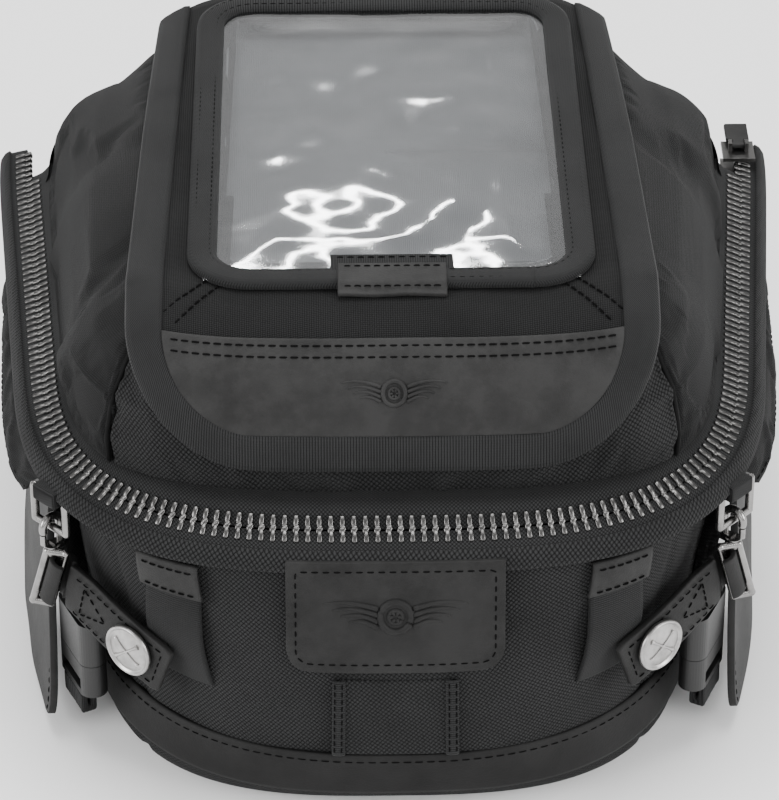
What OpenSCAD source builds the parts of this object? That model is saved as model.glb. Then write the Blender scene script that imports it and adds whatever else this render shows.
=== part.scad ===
// Motorcycle tank bag: magnetic base, zipped lid, top pocket flap and a clear phone window.
// Origin: middle of the footprint, on the resting face. +Z is up, +Y is towards the rider.

/* [Body] */
// Half width of the bag at the zip, measured on the outline's centre line
half_width = 109.5; // [100:0.5:118]
// How much the half width grows for each millimetre towards the rear
widening = 0.095; // [0.06:0.005:0.11]
// Height of the lower body's rim
rim_z = 96.4; // [90:0.2:104]
// Distance from the outline's centre to the front wall at the rim
front_reach = 103; // [98:0.5:108]
// Distance from the outline's centre to the rear wall
rear_reach = 150; // [140:1:156]
// Thickness of the padded fabric wall
wall = 3; // [2:0.5:4]

/* [Lid] */
// Height of the lid box above the zip
lid_h = 50.7; // [44:0.1:54]
// Set-back of the lid's front wall from the zip
lid_setback = 12; // [10:0.5:14]
// Set-in of the lid's side walls from the zip
lid_setin = 6; // [5:0.1:9]
// Thickness of the lid wall
lid_wall = 2.5; // [2:0.1:3]

/* [Zip] */
// Tooth pitch of each row
tooth_pitch = 3.5; // [3:0.1:4]
// How far the zip stands out from the body's side
zip_out = 1.5; // [1:0.1:3]
// Gap between the rows, where the slider's neck runs
tooth_gap = 1.2; // [1.2:0.1:1.6]

/* [Flap] */
// Half width of the top flap
flap_half = 80; // [76:0.5:82]
// Radius of the flap's two front corners
flap_corner = 38; // [24:1:44]
// Thickness of the flap's fabric
flap_t = 2; // [1.5:0.1:2.4]
// Width of the webbing binding
binding_w = 10; // [8:0.5:12]

/* [Window] */
// Half width of the window frame
window_half = 62; // [58:0.5:66]
// Width of the window's binding
window_w = 8; // [7:0.5:10]
// Length of the window frame
window_l = 184; // [170:1:186]

/* [Straps] */
// Width of the leather straps
strap_w = 20; // [16:1:22]
// Radius of the cap snaps
cap_r = 8.5; // [7:0.5:9.5]
// Thickness of strap leather
leather_t = 2.4; // [2:0.1:3]

/* [Hidden] */
SIDES = ["left", "right"];

fabric_c = [0.09, 0.09, 0.1];
leather_c = [0.16, 0.16, 0.17];
webbing_c = [0.07, 0.07, 0.08];
nickel_c = [0.75, 0.75, 0.74];
plastic_c = [0.05, 0.05, 0.05];
clear_c = [0.8, 0.85, 0.88, 0.4];

centre_y = -27;
ring_n = 48;
gap = 0.2;
// Clearance under a piece sewn on a curved wall
sewn = 0.5;
pad_t = 2;
foam_t = 3;
board_t = 2;
zip_z = rim_z + 4.6;
lid_z = zip_z + 4.3;
lid_top = lid_z + lid_h;

// ---- shared geometry ----

function signed_pow(v, e) = v < 0 ? -pow(-v, e) : pow(v, e);

// A point of a squared-off oval at angle t: o = [half width, widening, front, rear, n front, n rear]
function oval(o, t, z) =
    let (s = sin(t),
         e = 2 / (s < 0 ? o[4] : o[5]),
         y = (s < 0 ? o[2] : o[3]) * signed_pow(s, e))
    [signed_pow(cos(t), e) * (o[0] + o[1] * y), centre_y + y, z];

function oval_ring(o, z, n = ring_n) = [for (i = [0:n - 1]) oval(o, 360 * i / n, z)];

function inset(o, d) = [o[0] - d, o[1], o[2] - d, o[3] - d, o[4], o[5]];

// Closed surface through rings of equal length; loop joins the last ring to the first
module skin(rings, loop = false) {
    n = len(rings[0]);
    m = len(rings);
    sides = [for (j = [0:(loop ? m : m - 1) - 1]) for (i = [0:n - 1])
        let (a = j * n + i, b = j * n + (i + 1) % n,
             c = ((j + 1) % m) * n + i, d = ((j + 1) % m) * n + (i + 1) % n)
        each [[a, c, d], [a, d, b]]];
    last = (m - 1) * n;
    caps = loop ? [] : [for (i = [0:floor(n / 2) - 2])
        let (k = n - 1 - i)
        each [[i, i + 1, k - 1], [i, k - 1, k],
              [last + i, last + k - 1, last + i + 1], [last + i, last + k, last + k - 1]]];
    polyhedron([for (r = rings) each r], concat(sides, caps));
}

// Level surface direction pointing out of a left-to-right path at point i
function outward(path, i) =
    let (a = path[max(i - 1, 0)], b = path[min(i + 1, len(path) - 1)], t = b - a)
    [t[1], -t[0], 0] / norm([t[0], t[1]]);

// Sweep a profile [[out, up], ...], clockwise, along a path that runs left to right
module sweep(path, profile) {
    skin([for (i = [0:len(path) - 1])
        let (out = outward(path, i))
        [for (q = profile) path[i] + out * q[0] + [0, 0, q[1]]]]);
}

// Running length along a path, and the same path at equal steps
function lengths(path) =
    [for (i = 0, s = 0; i < len(path);
          s = s + (i < len(path) - 1 ? norm(path[i + 1] - path[i]) : 0), i = i + 1) s];
function at_length(path, run, s) =
    [for (k = [0:2]) lookup(s, [for (i = [0:len(path) - 1]) [run[i], path[i][k]]])];
function even_path(path, step) =
    let (run = lengths(path), total = run[len(run) - 1], n = round(total / step))
    [for (i = [0:n]) at_length(path, run, total * i / n)];

// Mirror a left-hand part to the right-hand side
module on_side(side) {
    if (side == "left") children();
    else mirror([1, 0, 0]) children();
}

// A round bar between two points
module bar(a, b, r, fn = 24) {
    d = b - a;
    translate(a)
        rotate([0, acos(d[2] / norm(d)), atan2(d[1], d[0])])
            cylinder(r = r, h = norm(d), $fn = fn);
}

// Round bars through a list of points, with a ball at each
module bent_bar(points, r, closed = false) {
    n = len(points);
    for (i = [0:n - (closed ? 1 : 2)]) bar(points[i], points[(i + 1) % n], r, 32);
    for (p = points) translate(p) sphere(r = r + 0.12, $fn = 32);
}

// ---- outlines ----

// Rows: [height, inset at the side, front reach beyond the rim's, front squareness, widening share]
tub_rows = [
    [0, 14, -5, 3.0, 0.4],
    [8, 12, 1, 2.7, 0.5],
    [24, 11, 3, 2.5, 0.6],
    [45, 9, 4, 2.6, 0.75],
    [70, 5.5, 3.5, 2.9, 0.9],
    [rim_z, 0, 0, 3.4, 1]];
function tub_oval(row) =
    [half_width + 0.5 - row[1], widening * row[4], front_reach + row[2],
     rear_reach - row[1] * 0.3, row[3], 8];
function tub_at(z) =
    let (rows = [for (r = tub_rows) tub_oval(r)],
         pick = function (k) lookup(z, [for (i = [0:len(rows) - 1]) [tub_rows[i][0], rows[i][k]]]))
    [for (k = [0:5]) pick(k)];

zip_back_n = 12;
zip_oval = [half_width + zip_out, widening, front_reach - 8, rear_reach + 15, 3.2, zip_back_n];
zip_rear_y = 108;
// Angle at which the zip's outline reaches its rear end
zip_end_t = asin(pow((zip_rear_y - centre_y) / (rear_reach + 15), zip_back_n / 2));
zip_raw = [for (i = [0:160]) oval(zip_oval, -180 - zip_end_t + (180 + 2 * zip_end_t) * i / 160, zip_z)];
zip_run = lengths(zip_raw);
zip_len = zip_run[len(zip_run) - 1];

// Rows: [height share, side inset from the base, front set-back from the base, squareness]
lid_rows = [
    [0, 0, 0, 3.7],
    [0.17, 0.6, 0, 3.7],
    [0.24, 1.6, 1.5, 3.7],
    [0.45, 5, 3.5, 3.7],
    [0.69, 13, 9, 3.9],
    [0.85, 21, 16, 4.2],
    [0.96, 26.5, 26, 4.5],
    [1, 29, 34, 4.8]];
function lid_oval(row) =
    [half_width + zip_out - lid_setin - row[1], widening * (1 - row[0]),
     front_reach - 9 - lid_setback - row[2], rear_reach - 5 - row[0] * 6, row[3], 8];

// ---- lower body ----

floor_oval = inset(tub_at(0), wall + gap);

module base_pad() color(webbing_c)
    linear_extrude(pad_t) polygon([for (p = oval_ring(floor_oval, 0)) [p[0], p[1]]]);

magnet_r = 13;
magnet_places = [for (x = [-52, 0, 52]) for (y = [-72, 60]) [x, y]];

module magnet_foam() color(plastic_c)
    translate([0, 0, pad_t]) linear_extrude(foam_t) difference() {
        polygon([for (p = oval_ring(floor_oval, 0)) [p[0], p[1]]]);
        for (p = magnet_places) translate(p) circle(r = magnet_r + gap, $fn = 40);
    }

module magnets() color(nickel_c)
    for (p = magnet_places)
        translate([p[0], p[1], pad_t]) cylinder(r = magnet_r, h = foam_t, $fn = 40);

module base_board() color(plastic_c)
    translate([0, 0, pad_t + foam_t])
        linear_extrude(board_t) polygon([for (p = oval_ring(floor_oval, 0)) [p[0], p[1]]]);

module tub_shell() color(fabric_c) skin(concat(
    [for (r = tub_rows) oval_ring(tub_oval(r), r[0])],
    [for (i = [len(tub_rows) - 1:-1:0])
        oval_ring(inset(tub_oval(tub_rows[i]), wall), tub_rows[i][0])]), loop = true);

lining_t = 1;
lining_gap = 0.9;
lining_foot = pad_t + foam_t + board_t + gap;
module tub_lining() {
    heights = [lining_foot, 8, 24, 45, 70, rim_z];
    inside = wall + lining_gap + lining_t;
    color(webbing_c) skin(concat(
        [for (z = heights) oval_ring(inset(tub_at(z), wall + lining_gap), z)],
        [for (i = [len(heights) - 1:-1:0])
            oval_ring(inset(tub_at(heights[i]), inside), max(heights[i], lining_foot + lining_t))]));
}

band_t = 2;
module lower_band() color(leather_c)
    skin([for (i = [0:32])
        let (t = -158 + 136 * i / 32)
        [for (q = [[24, gap], [24, band_t], [16, band_t], [8, band_t], [8, gap], [16, gap]])
            oval(inset(tub_at(q[0]), -q[1]), t, q[0])]]);

patch_half = 35.5;
patch_z = 57.6;
// Angle on the front of the tub at which the wall is x from the middle
function front_t(z, x) = -90 + asin(signed_pow(x / (tub_at(z)[0]), tub_at(z)[4] / 2));
function on_front(x, z, out) = oval(inset(tub_at(z), -out), front_t(z, x), z);

module front_sheet(half, z0, z1, t, corner = 0) {
    n = 14;
    skin([for (i = [0:n])
        let (x = -half + 2 * half * i / n,
             edge = max(0, corner - (half - abs(x))),
             lift = corner - sqrt(max(0, corner * corner - edge * edge)))
        [for (q = [[z1, sewn], [z1, t], [(z0 + z1) / 2, t], [z0 + lift, t], [z0 + lift, sewn],
                   [(z0 + z1) / 2, sewn]])
            on_front(x, q[0], q[1])]]);
}

module front_patch() color(leather_c) front_sheet(patch_half, patch_z, rim_z - 0.4, 2.4, 9);
module center_panel() color(webbing_c) front_sheet(18.5, 25, patch_z - 2, 1.7);

// ---- zip ----

tape_in = 5.3;
tape_out = 8.5;
tape_reach = 10;
module zip_tape_lower() color(fabric_c)
    sweep(even_path(zip_raw, 12),
          [[tape_in, -1], [tape_out, -3.2], [tape_out, -4.2], [tape_in, -2]]);

// The upper tape stops short of the parked slider
upper_path = [for (s = [22:11.5:zip_len - 22]) at_length(zip_raw, zip_run, s)];
module zip_tape_upper() color(fabric_c)
    sweep(upper_path, [[-tape_reach, 4.1], [-tape_in, 2], [-tape_in, 1], [-tape_reach, 3.1]]);

tooth_w = 1.5;
tooth_l = 4.2;
tooth_h = 2.4;
// One row of teeth as separate blocks across the path; sense is 1 outward and -1 inward
module teeth(first, last, sense) {
    n = floor((last - first) / tooth_pitch);
    near = tooth_gap / 2;
    far = near + tooth_l;
    drop = 0.25;
    blocks = [for (i = [0:n - 1])
        let (s = first + tooth_pitch * (i + (sense > 0 ? 0.25 : 0.75)),
             a = at_length(zip_raw, zip_run, s - tooth_w / 2),
             b = at_length(zip_raw, zip_run, s + tooth_w / 2),
             t = (b - a) / norm(b - a),
             out = [t[1], -t[0], 0] * sense)
        [for (q = [[a, near, -1], [a, far, -1], [b, far, -1], [b, near, -1],
                   [a, near, 1], [a, far, 1], [b, far, 1], [b, near, 1]])
            q[0] + out * q[1] + [0, 0, q[2] * tooth_h / 2 - sense * drop * q[1]]]];
    cube_faces = [[0, 1, 2, 3], [7, 6, 5, 4], [0, 4, 5, 1], [1, 5, 6, 2], [2, 6, 7, 3], [3, 7, 4, 0]];
    flip = sense > 0;
    polyhedron([for (b = blocks) each b],
        [for (i = [0:len(blocks) - 1]) for (f = cube_faces)
            let (g = [for (k = f) k + 8 * i])
            flip ? [g[3], g[2], g[1], g[0]] : g]);
}
module zip_teeth_lower() color(nickel_c) teeth(4, zip_len - 4, 1);
module zip_teeth_upper() color(nickel_c) teeth(22, zip_len - 22, -1);

// ---- lid box ----

function lid_row_z(row) = lid_z + row[0] * lid_h;
function lid_at(z) =
    let (rows = [for (r = lid_rows) lid_oval(r)],
         pick = function (k) lookup(z, [for (i = [0:len(rows) - 1]) [lid_row_z(lid_rows[i]), rows[i][k]]]))
    [for (k = [0:5]) pick(k)];
function on_lid_front(x, z, out) =
    let (o = inset(lid_at(z), -out))
    oval(o, -90 + asin(signed_pow(x / o[0], o[4] / 2)), z);

module lid_walls() color(fabric_c) skin(concat(
    [for (r = lid_rows) oval_ring(lid_oval(r), lid_row_z(r))],
    [for (i = [len(lid_rows) - 1:-1:0])
        oval_ring(inset(lid_oval(lid_rows[i]), lid_wall), lid_row_z(lid_rows[i]))]), loop = true);

module lid_floor() color(webbing_c)
    translate([0, 0, lid_z]) linear_extrude(1.6)
        polygon([for (p = oval_ring(inset(lid_oval(lid_rows[0]), lid_wall + sewn), 0)) [p[0], p[1]]]);

module lid_hook_strip() color(webbing_c)
    skin([for (i = [0:10])
        let (x = -40 + 8 * i)
        [for (q = [[129, sewn], [129, 1.1], [119, 1.1], [119, sewn]]) on_lid_front(x, q[0], q[1])]]);

// ---- top flap ----

// The flap's side profile from its rear edge to its front tip, as [0, reach from the centre, height]
flap_z = lid_top + 0.5;
flap_rear = 139.5;
flap_profile = [
    [0, -flap_rear, flap_z], [0, 44, flap_z], [0, 52, flap_z - 0.6], [0, 60, flap_z - 2.6],
    [0, 68, flap_z - 7], [0, 75, flap_z - 15], [0, 80.5, flap_z - 27.5], [0, 83.5, flap_z - 38],
    [0, 83.9, flap_z - 39.7]];
flap_run = lengths(flap_profile);
flap_len = flap_run[len(flap_run) - 1];

// Share of its width that the flap loses between this far from its tip and its rear edge
flap_taper = 0.06;
taper_from = 62;

// A point of the flap: x across, s back from the front tip along the surface, h above its underside
function flap_point(x, s, h) =
    let (p = at_length(flap_profile, flap_run, flap_len - s),
         a = at_length(flap_profile, flap_run, min(flap_len - s + 3, flap_len)),
         b = at_length(flap_profile, flap_run, flap_len - s - 3),
         t = (a - b) / norm(a - b),
         reach = p[1] - t[2] * h,
         share = min(1, max(0, (reach - 40) / 16)),
         round_off = 1 - pow(1 - pow(abs(x) / 100, 3.7), 1 / 3.7),
         narrow = 1 - flap_taper * max(0, s - taper_from) / (flap_len - taper_from))
    [x * narrow, centre_y - reach * (1 - share * round_off), p[2] + t[1] * h];

// Half width of the flap at s, for an edge set in by d
function flap_width(s, d = 0) =
    let (r = flap_corner - d, e = max(0, r - max(0, s - d)))
    flap_half - flap_corner + sqrt(max(0, r * r - e * e));

slope_steps = [0, 1.5, 5, 10, 17, 26, 32, 38, 44, 50, 56, 62];
module flap_sheet(steps, h0, h1, d, half = 999) {
    across = [for (k = [-4:4]) k / 4];
    skin([for (i = [len(steps) - 1:-1:0])
        let (s = steps[i], w = min(half, flap_width(s, d)))
        concat([for (k = across) flap_point(k * w, s, h0)],
               [for (k = [4:-1:-4]) flap_point(k / 4 * w, s, h1)])]);
}

tray_half = 52;
tray_front = -63;
tray_l = 164;
module flap_panel() color(fabric_c) difference() {
    flap_sheet(concat(slope_steps, [120, 180, flap_len]), 0, flap_t, 0);
    translate([-tray_half - gap, tray_front - gap, flap_z - 2])
        cube([2 * (tray_half + gap), tray_l + 2 * gap, 6]);
}

tray_t = 1.2;
tray_h = 8.7;
module phone_tray() color(webbing_c)
    translate([-tray_half, tray_front, flap_z + flap_t - tray_h]) difference() {
        cube([2 * tray_half, tray_l, tray_h]);
        translate([tray_t, tray_t, tray_t])
            cube([2 * (tray_half - tray_t), tray_l - 2 * tray_t, tray_h]);
    }

// The binding's path: a long U whose corners are arcs, as [x, s] with an inset d
function u_path(d) =
    let (r = flap_corner - d, c = flap_half - flap_corner)
    concat([for (s = [flap_len, 180, 120, 62, 56, 50, 44]) [-flap_half + d, s]],
           [for (a = [0:15:90]) [-c - r * cos(a), flap_corner - r * sin(a)]],
           [[-14, d], [14, d]],
           [for (a = [90:-15:0]) [c + r * cos(a), flap_corner - r * sin(a)]],
           [for (s = [44, 50, 56, 62, 120, 180, flap_len]) [flap_half - d, s]]);

module flap_binding() {
    outer = u_path(0);
    inner = u_path(binding_w);
    low = flap_t + sewn;
    high = low + 1.3;
    color(webbing_c) skin([for (i = [0:len(outer) - 1])
        [flap_point(inner[i][0], inner[i][1], low), flap_point(inner[i][0], inner[i][1], high),
         flap_point(outer[i][0], outer[i][1], high), flap_point(outer[i][0], outer[i][1], low)]]);
}

module flap_leather() color(leather_c)
    flap_sheet([binding_w + 0.4, 12, 15, 17, 21, 26, 32, 38, 38.3],
               flap_t + sewn, flap_t + 1.9, binding_w + 0.4);

module flap_loop_strip() color(webbing_c)
    flap_sheet([7, 11.5, 16], -1, -0.4, 0, 40);

// ---- window ----

window_z = flap_z + flap_t + gap;
window_front = -77.5;
window_r = 19;
module rounded_plate(half, front, length, r, h) {
    linear_extrude(h) hull() for (x = [-half + r, half - r]) for (y = [front + r, front + length - r])
        translate([x, y]) circle(r = r, $fn = 32);
}
vinyl_t = 0.6;
// The sheet's edge lies this far inside the binding's outer edge
vinyl_in = 5;
module window_vinyl() color(clear_c)
    translate([0, 0, window_z])
        rounded_plate(window_half - vinyl_in, window_front + vinyl_in,
                      window_l - 2 * vinyl_in, window_r - vinyl_in, vinyl_t);

module window_binding() color(webbing_c)
    translate([0, 0, window_z + vinyl_t]) difference() {
        rounded_plate(window_half, window_front, window_l, window_r, 2);
        translate([0, 0, -1])
            rounded_plate(window_half - window_w, window_front + window_w,
                          window_l - 2 * window_w, window_r - window_w, 4);
    }

tab_half = 18;
module window_tab() color(leather_c)
    translate([-tab_half, window_front - 3, window_z + vinyl_t + 2])
        cube([2 * tab_half, 18, 1.6]);

// ---- side wings, pads and flaps (left-hand parts) ----

// Wing stations from front to rear: inner edge, then outer edge
wing_rows = [
    [[-101.5, -81, 96.4], [-116.5, -63, 76]],
    [[-107, -75, 96.2], [-120, -56, 78]],
    [[-114.5, -55, 96], [-123.3, -42, 80.5]],
    [[-118, -30, 96], [-125.4, -22, 82.5]],
    [[-120.6, 10, 96], [-127, 14, 84.5]],
    [[-125, 60, 96], [-127.8, 60, 85]],
    [[-126, 88, 96], [-127, 90, 86]],
    [[-123, 106, 96], [-124, 106, 87]]];
wing_t = 2;
module wing(side) color(fabric_c) on_side(side)
    skin([for (r = wing_rows)
        let (mid = (r[0] + r[1]) / 2 + [-1.6, -0.6, 1.6], drop = [wing_t * 0.8, 0, -wing_t * 0.6])
        [r[0], r[0] + drop, mid + drop, r[1] + drop, r[1], mid]]);

// Side pad: a low padded bulge on the side wall
pad_y = [-50, -44, -20, 20, 60, 78, 84];
pad_out = [0.4, 5, 7.5, 8, 7.5, 5, 0.4];
function on_side_wall(y, z, out) =
    let (o = tub_at(z), reach = y < centre_y ? o[2] : o[3], n = y < centre_y ? o[4] : o[5],
         share = pow(1 - pow(abs(y - centre_y) / reach, n), 1 / n))
    [-(o[0] + o[1] * (y - centre_y)) * share - out, y, z];
module side_pad(side) color(fabric_c) on_side(side)
    skin([for (i = [len(pad_y) - 1:-1:0])
        let (y = pad_y[i], b = pad_out[i])
        [for (q = [[28, 0.3], [48, 0.3], [66, 0.3], [64, 0.3 + b * 0.6], [48, 0.4 + b], [28, 0.4 + b],
                   [10, 0.3 + b * 0.7], [8, 0.3]])
            on_side_wall(y, q[0], q[1])]]);

// Leather side flap: rows of [height, front x, front y, rear x, rear y]
side_flap_rows = [
    [77.5, -108.5, -74, -113.5, -14], [66, -109, -77, -116.5, -14], [50, -108.6, -81, -119, -15],
    [33, -108.6, -85.5, -120.5, -17], [16, -109.5, -90, -121, -22], [8, -110.5, -90, -121, -28],
    [5, -112, -84, -119.5, -38]];
module side_flap(side) color(leather_c) on_side(side)
    skin([for (i = [len(side_flap_rows) - 1:-1:0])
        let (r = side_flap_rows[i], in = leather_t, x = (r[1] + r[3]) / 2, y = (r[2] + r[4]) / 2)
        [[r[1], r[2], r[0]], [r[1] + in, r[2], r[0]], [x + in - 0.6, y, r[0]],
         [r[3] + in, r[4], r[0]], [r[3], r[4], r[0]], [x - 0.6, y, r[0]]]]);

// ---- corner hardware (left-hand parts) ----

wire_r = 1.3;
corner = [-106, -91, 88];
// Corner frame: +X runs along the bag's corner to the front, -Y points out of the bag
module at_corner(side) on_side(side) translate(corner) rotate([0, 0, -45]) children();

ring_half = 7;
ring_top = 6;
ring_low = -6;
module ring_tab(side) color(webbing_c) at_corner(side) difference() {
    translate([-5, -2.8, ring_top - 2.8]) cube([10, 6, 5.6]);
    translate([-8, 0, ring_top]) rotate([0, 90, 0]) cylinder(r = wire_r + 0.08, h = 16, $fn = 32);
}

module d_ring(side) color(nickel_c) at_corner(side) {
    for (z = [ring_low, ring_top])
        translate([-ring_half, 0, z]) rotate([0, 90, 0]) cylinder(r = wire_r, h = 2 * ring_half, $fn = 32);
    for (x = [-ring_half, ring_half]) {
        translate([x, 0, ring_low]) cylinder(r = wire_r, h = ring_top - ring_low, $fn = 32);
        for (z = [ring_low, ring_top]) translate([x, 0, z]) sphere(r = wire_r, $fn = 32);
    }
}

hook_bend = 3.4;
hook_drop = 13;
module snap_hook(side) color(nickel_c) at_corner(side) translate([0, 0, ring_low]) {
    rotate([0, 90, 0]) rotate([0, 0, 90]) rotate_extrude(angle = 200, $fn = 48)
        translate([hook_bend, 0]) circle(r = 1.3, $fn = 24);
    translate([0, hook_bend, -hook_drop + 5]) cylinder(r = 1.3, h = hook_drop - 5, $fn = 24);
    translate([0, 0, -hook_drop + 3]) cylinder(r = 2.6, h = 3, $fn = 32);
    translate([0, 0, -hook_drop]) cylinder(r = 1.5, h = 3.2, $fn = 32);
    translate([-1.3, 0, -hook_drop + 4]) cube([2.6, hook_bend + 1, 2.6]);
}

module hook_gate(side) color(nickel_c) at_corner(side) translate([0, 0, ring_low])
    translate([0, -hook_bend, -hook_drop + 7.4]) cylinder(r = 1, h = hook_drop - 9.4, $fn = 24);

// The strap ring's bar is the strap's hinge: it leans slightly to the front
pivot = [-104.5, -92, 62.5];
fold_r = 3.3;
lean = [0.24, -0.2, 0.95];
bar_half = 11.5;
module strap_ring(side) color(nickel_c) on_side(side) {
    low = pivot - lean * bar_half;
    high = pivot + lean * bar_half;
    out = [-5.7, 1.8, 0];
    bent_bar([low, high, high + out, low + out], wire_r, closed = true);
}

// Strap's middle line from the ring to the tip
strap_path = [[-102.7, -93.5, 61.8], [-96, -100.4, 60], [-88, -108.6, 56.5],
              [-79.5, -116, 52.5], [-70.5, -122.6, 48.5]];
module leather_strap(side) color(leather_c) on_side(side) difference() {
    union() {
        sweep(strap_path, [[-leather_t / 2, strap_w / 2], [leather_t / 2, strap_w / 2],
                           [leather_t / 2, -strap_w / 2], [-leather_t / 2, -strap_w / 2]]);
        bar(pivot - lean * 9.6, pivot + lean * 5, fold_r, 32);
    }
    bar(pivot - lean * 14, pivot + lean * 14, wire_r + 0.08, 32);
}

// Snap frame on the strap: +Z points out of the strap
snap_at = [-80.6, -115.1, 53];
module at_snap(side) on_side(side) translate(snap_at) rotate([90, 0, -39.5]) children();

module snap_cap(side) color(nickel_c) at_snap(side)
    translate([0, 0, leather_t / 2 + sewn]) intersection() {
        cylinder(r = cap_r, h = 2.6, $fn = 48);
        translate([0, 0, 2.4 - 20]) sphere(r = 20, $fn = 96);
    }

module snap_studs() color(nickel_c)
    for (side = SIDES) at_snap(side) translate([0, 0, -leather_t / 2 - 2.7]) {
        cylinder(r = 5.5, h = 1, $fn = 40);
        cylinder(r = 3.4, h = 2.2, $fn = 40);
    }

// Webbing keeper on the front wall, down to the snap
module keeper(side) color(webbing_c) on_side(side)
    skin([for (i = [0:4])
        let (k = i / 4, x = -82 + 18 * k)
        [for (q = [[88, sewn], [88, 2.1], [60, 2.1], [46, 2.1], [46, sewn], [60, sewn]])
            on_front(x + (88 - q[0]) * 0.12, q[0], q[1])]]);

// ---- side release buckles (left-hand parts) ----

buckle_at = [-98, -89.5, 0];
module at_buckle(side) on_side(side) translate(buckle_at) rotate([0, 0, -66]) children();
// Height of the joint line between the buckle's two halves
buckle_z = 34;
male_z = buckle_z - 12;
female_h = 15.4;
module buckle_female(side) color(plastic_c) at_buckle(side) difference() {
    translate([0, 0, buckle_z]) linear_extrude(female_h) hull() for (x = [-7.5, 7.5])
        translate([x, 0]) circle(r = 4.5, $fn = 32);
    translate([-9.5, -2.8, buckle_z - 1]) cube([19, 5.6, 13.4]);
    translate([-8, -1.2, buckle_z + 13.4]) cube([16, 2.4, 4]);
}

module buckle_male(side) color(plastic_c) at_buckle(side) {
    difference() {
        translate([0, 0, male_z]) linear_extrude(11.8) hull() for (x = [-7.5, 7.5])
            translate([x, 0]) circle(r = 4.5, $fn = 32);
        translate([-8, -6, male_z + 2]) cube([16, 12, 4]);
    }
    for (x = [-9, 6.4]) translate([x, -2.2, male_z + 11]) cube([2.6, 4.4, 13]);
    translate([-1.5, -1.8, male_z + 11]) cube([3, 3.6, 10]);
}

module web_tail(side) color(webbing_c) at_buckle(side) {
    tail_z = male_z - 8;
    translate([-7.8, -1, male_z + 2.2]) cube([15.6, 2, 3.6]);
    translate([-7.8, -1, tail_z + 2]) cube([15.6, 2, 6.4]);
    translate([-7.8, -4.2, tail_z + 2]) cube([15.6, 2, 5.4]);
    translate([-7.8, -4.2, tail_z]) cube([15.6, 5.2, 2.2]);
}

// ---- rear handle ----

handle_half = 46;
handle_y = 129;
handle_z = 84;
handle_r = 2;
module handle_tabs() color(webbing_c)
    for (x = [-handle_half, handle_half]) difference() {
        translate([x - 10, centre_y + rear_reach + 0.4, handle_z - 6])
            cube([20, 9.2, 16]);
        translate([x - 12, handle_y, handle_z]) rotate([0, 90, 0])
            cylinder(r = handle_r + 0.08, h = 24, $fn = 32);
    }

// Handle loop: a round bar through each tab and a flat grip between them
module rear_handle() color(leather_c) {
    grip_z = handle_z - 30;
    for (s = [-1, 1]) bent_bar(
        [for (q = [[handle_half - 10, grip_z], [handle_half - 12.5, handle_z - 10],
                   [handle_half - 12.5, handle_z], [handle_half + 12.5, handle_z],
                   [handle_half + 12.5, handle_z - 10], [handle_half - 4, grip_z]])
            [s * q[0], handle_y, q[1]]], handle_r);
    translate([-handle_half - 1, handle_y - 4, grip_z - 3]) cube([2 * handle_half + 2, 8, 6]);
}

// ---- slider, parked behind the upper tape's right-hand end ----

slider_l = 12;
slider_half = 5.5;
neck_t = 0.5;
// The neck stands along the zip, which runs at this angle to Y
neck_turn = -5.3;
pin_z = 5.8;
pin_r = 0.8;
park = at_length(zip_raw, zip_run, zip_len - 11);
module zip_slider() color(nickel_c) translate(park) difference() {
    union() {
        for (z = [2.8, -4])
            translate([-slider_half, -slider_l / 2, z]) cube([2 * slider_half, slider_l, 1.2]);
        rotate([0, 0, neck_turn]) translate([-neck_t / 2, -slider_l / 2 + 0.1, -3.4]) cube([neck_t, 5, 6.8]);
        for (x = [-3.4, 2.2]) translate([x, -1.6, 3.8]) cube([1.2, 3.2, 3.6]);
    }
    translate([-5, 0, pin_z]) rotate([0, 90, 0]) cylinder(r = pin_r + 0.06, h = 10, $fn = 32);
}

pull_l = 14;
module slider_pull() color(leather_c) translate(park) {
    translate([-3.4, 0, pin_z]) rotate([0, 90, 0]) cylinder(r = pin_r, h = 6.8, $fn = 32);
    translate([-2, -0.8, pin_z - 0.8]) cube([4, 4, 1.6]);
    translate([-4, 3.2, pin_z - 0.8]) cube([8, pull_l - 3.2, 1.6]);
}

base_pad();
magnet_foam();
magnets();
base_board();
tub_shell();
tub_lining();
lower_band();
front_patch();
center_panel();
zip_tape_lower();
zip_teeth_lower();
snap_studs();
handle_tabs();
rear_handle();
lid_walls();
lid_floor();
zip_tape_upper();
zip_teeth_upper();
lid_hook_strip();
flap_panel();
phone_tray();
flap_binding();
flap_leather();
flap_loop_strip();
window_vinyl();
window_binding();
window_tab();
zip_slider();
slider_pull();
wing("left");  // wing_left
wing("right");  // wing_right
side_pad("left");  // side_pad_left
side_pad("right");  // side_pad_right
keeper("left");  // keeper_left
keeper("right");  // keeper_right
ring_tab("left");  // ring_tab_left
ring_tab("right");  // ring_tab_right
d_ring("left");  // d_ring_left
d_ring("right");  // d_ring_right
snap_hook("left");  // snap_hook_left
snap_hook("right");  // snap_hook_right
hook_gate("left");  // hook_gate_left
hook_gate("right");  // hook_gate_right
strap_ring("left");  // strap_ring_left
strap_ring("right");  // strap_ring_right
leather_strap("left");  // leather_strap_left
leather_strap("right");  // leather_strap_right
snap_cap("left");  // snap_cap_left
snap_cap("right");  // snap_cap_right
side_flap("left");  // side_flap_left
side_flap("right");  // side_flap_right
buckle_female("left");  // buckle_female_left
buckle_female("right");  // buckle_female_right
buckle_male("left");  // buckle_male_left
buckle_male("right");  // buckle_male_right
web_tail("left");  // web_tail_left
web_tail("right");  // web_tail_right
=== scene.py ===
"""Looks of a motorcycle tank bag: woven fabric, waxed leather, metal zip, clear vinyl and nickel hardware.

Lengths are in millimetres until a mesh is made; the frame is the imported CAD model.
"""
import math

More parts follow.
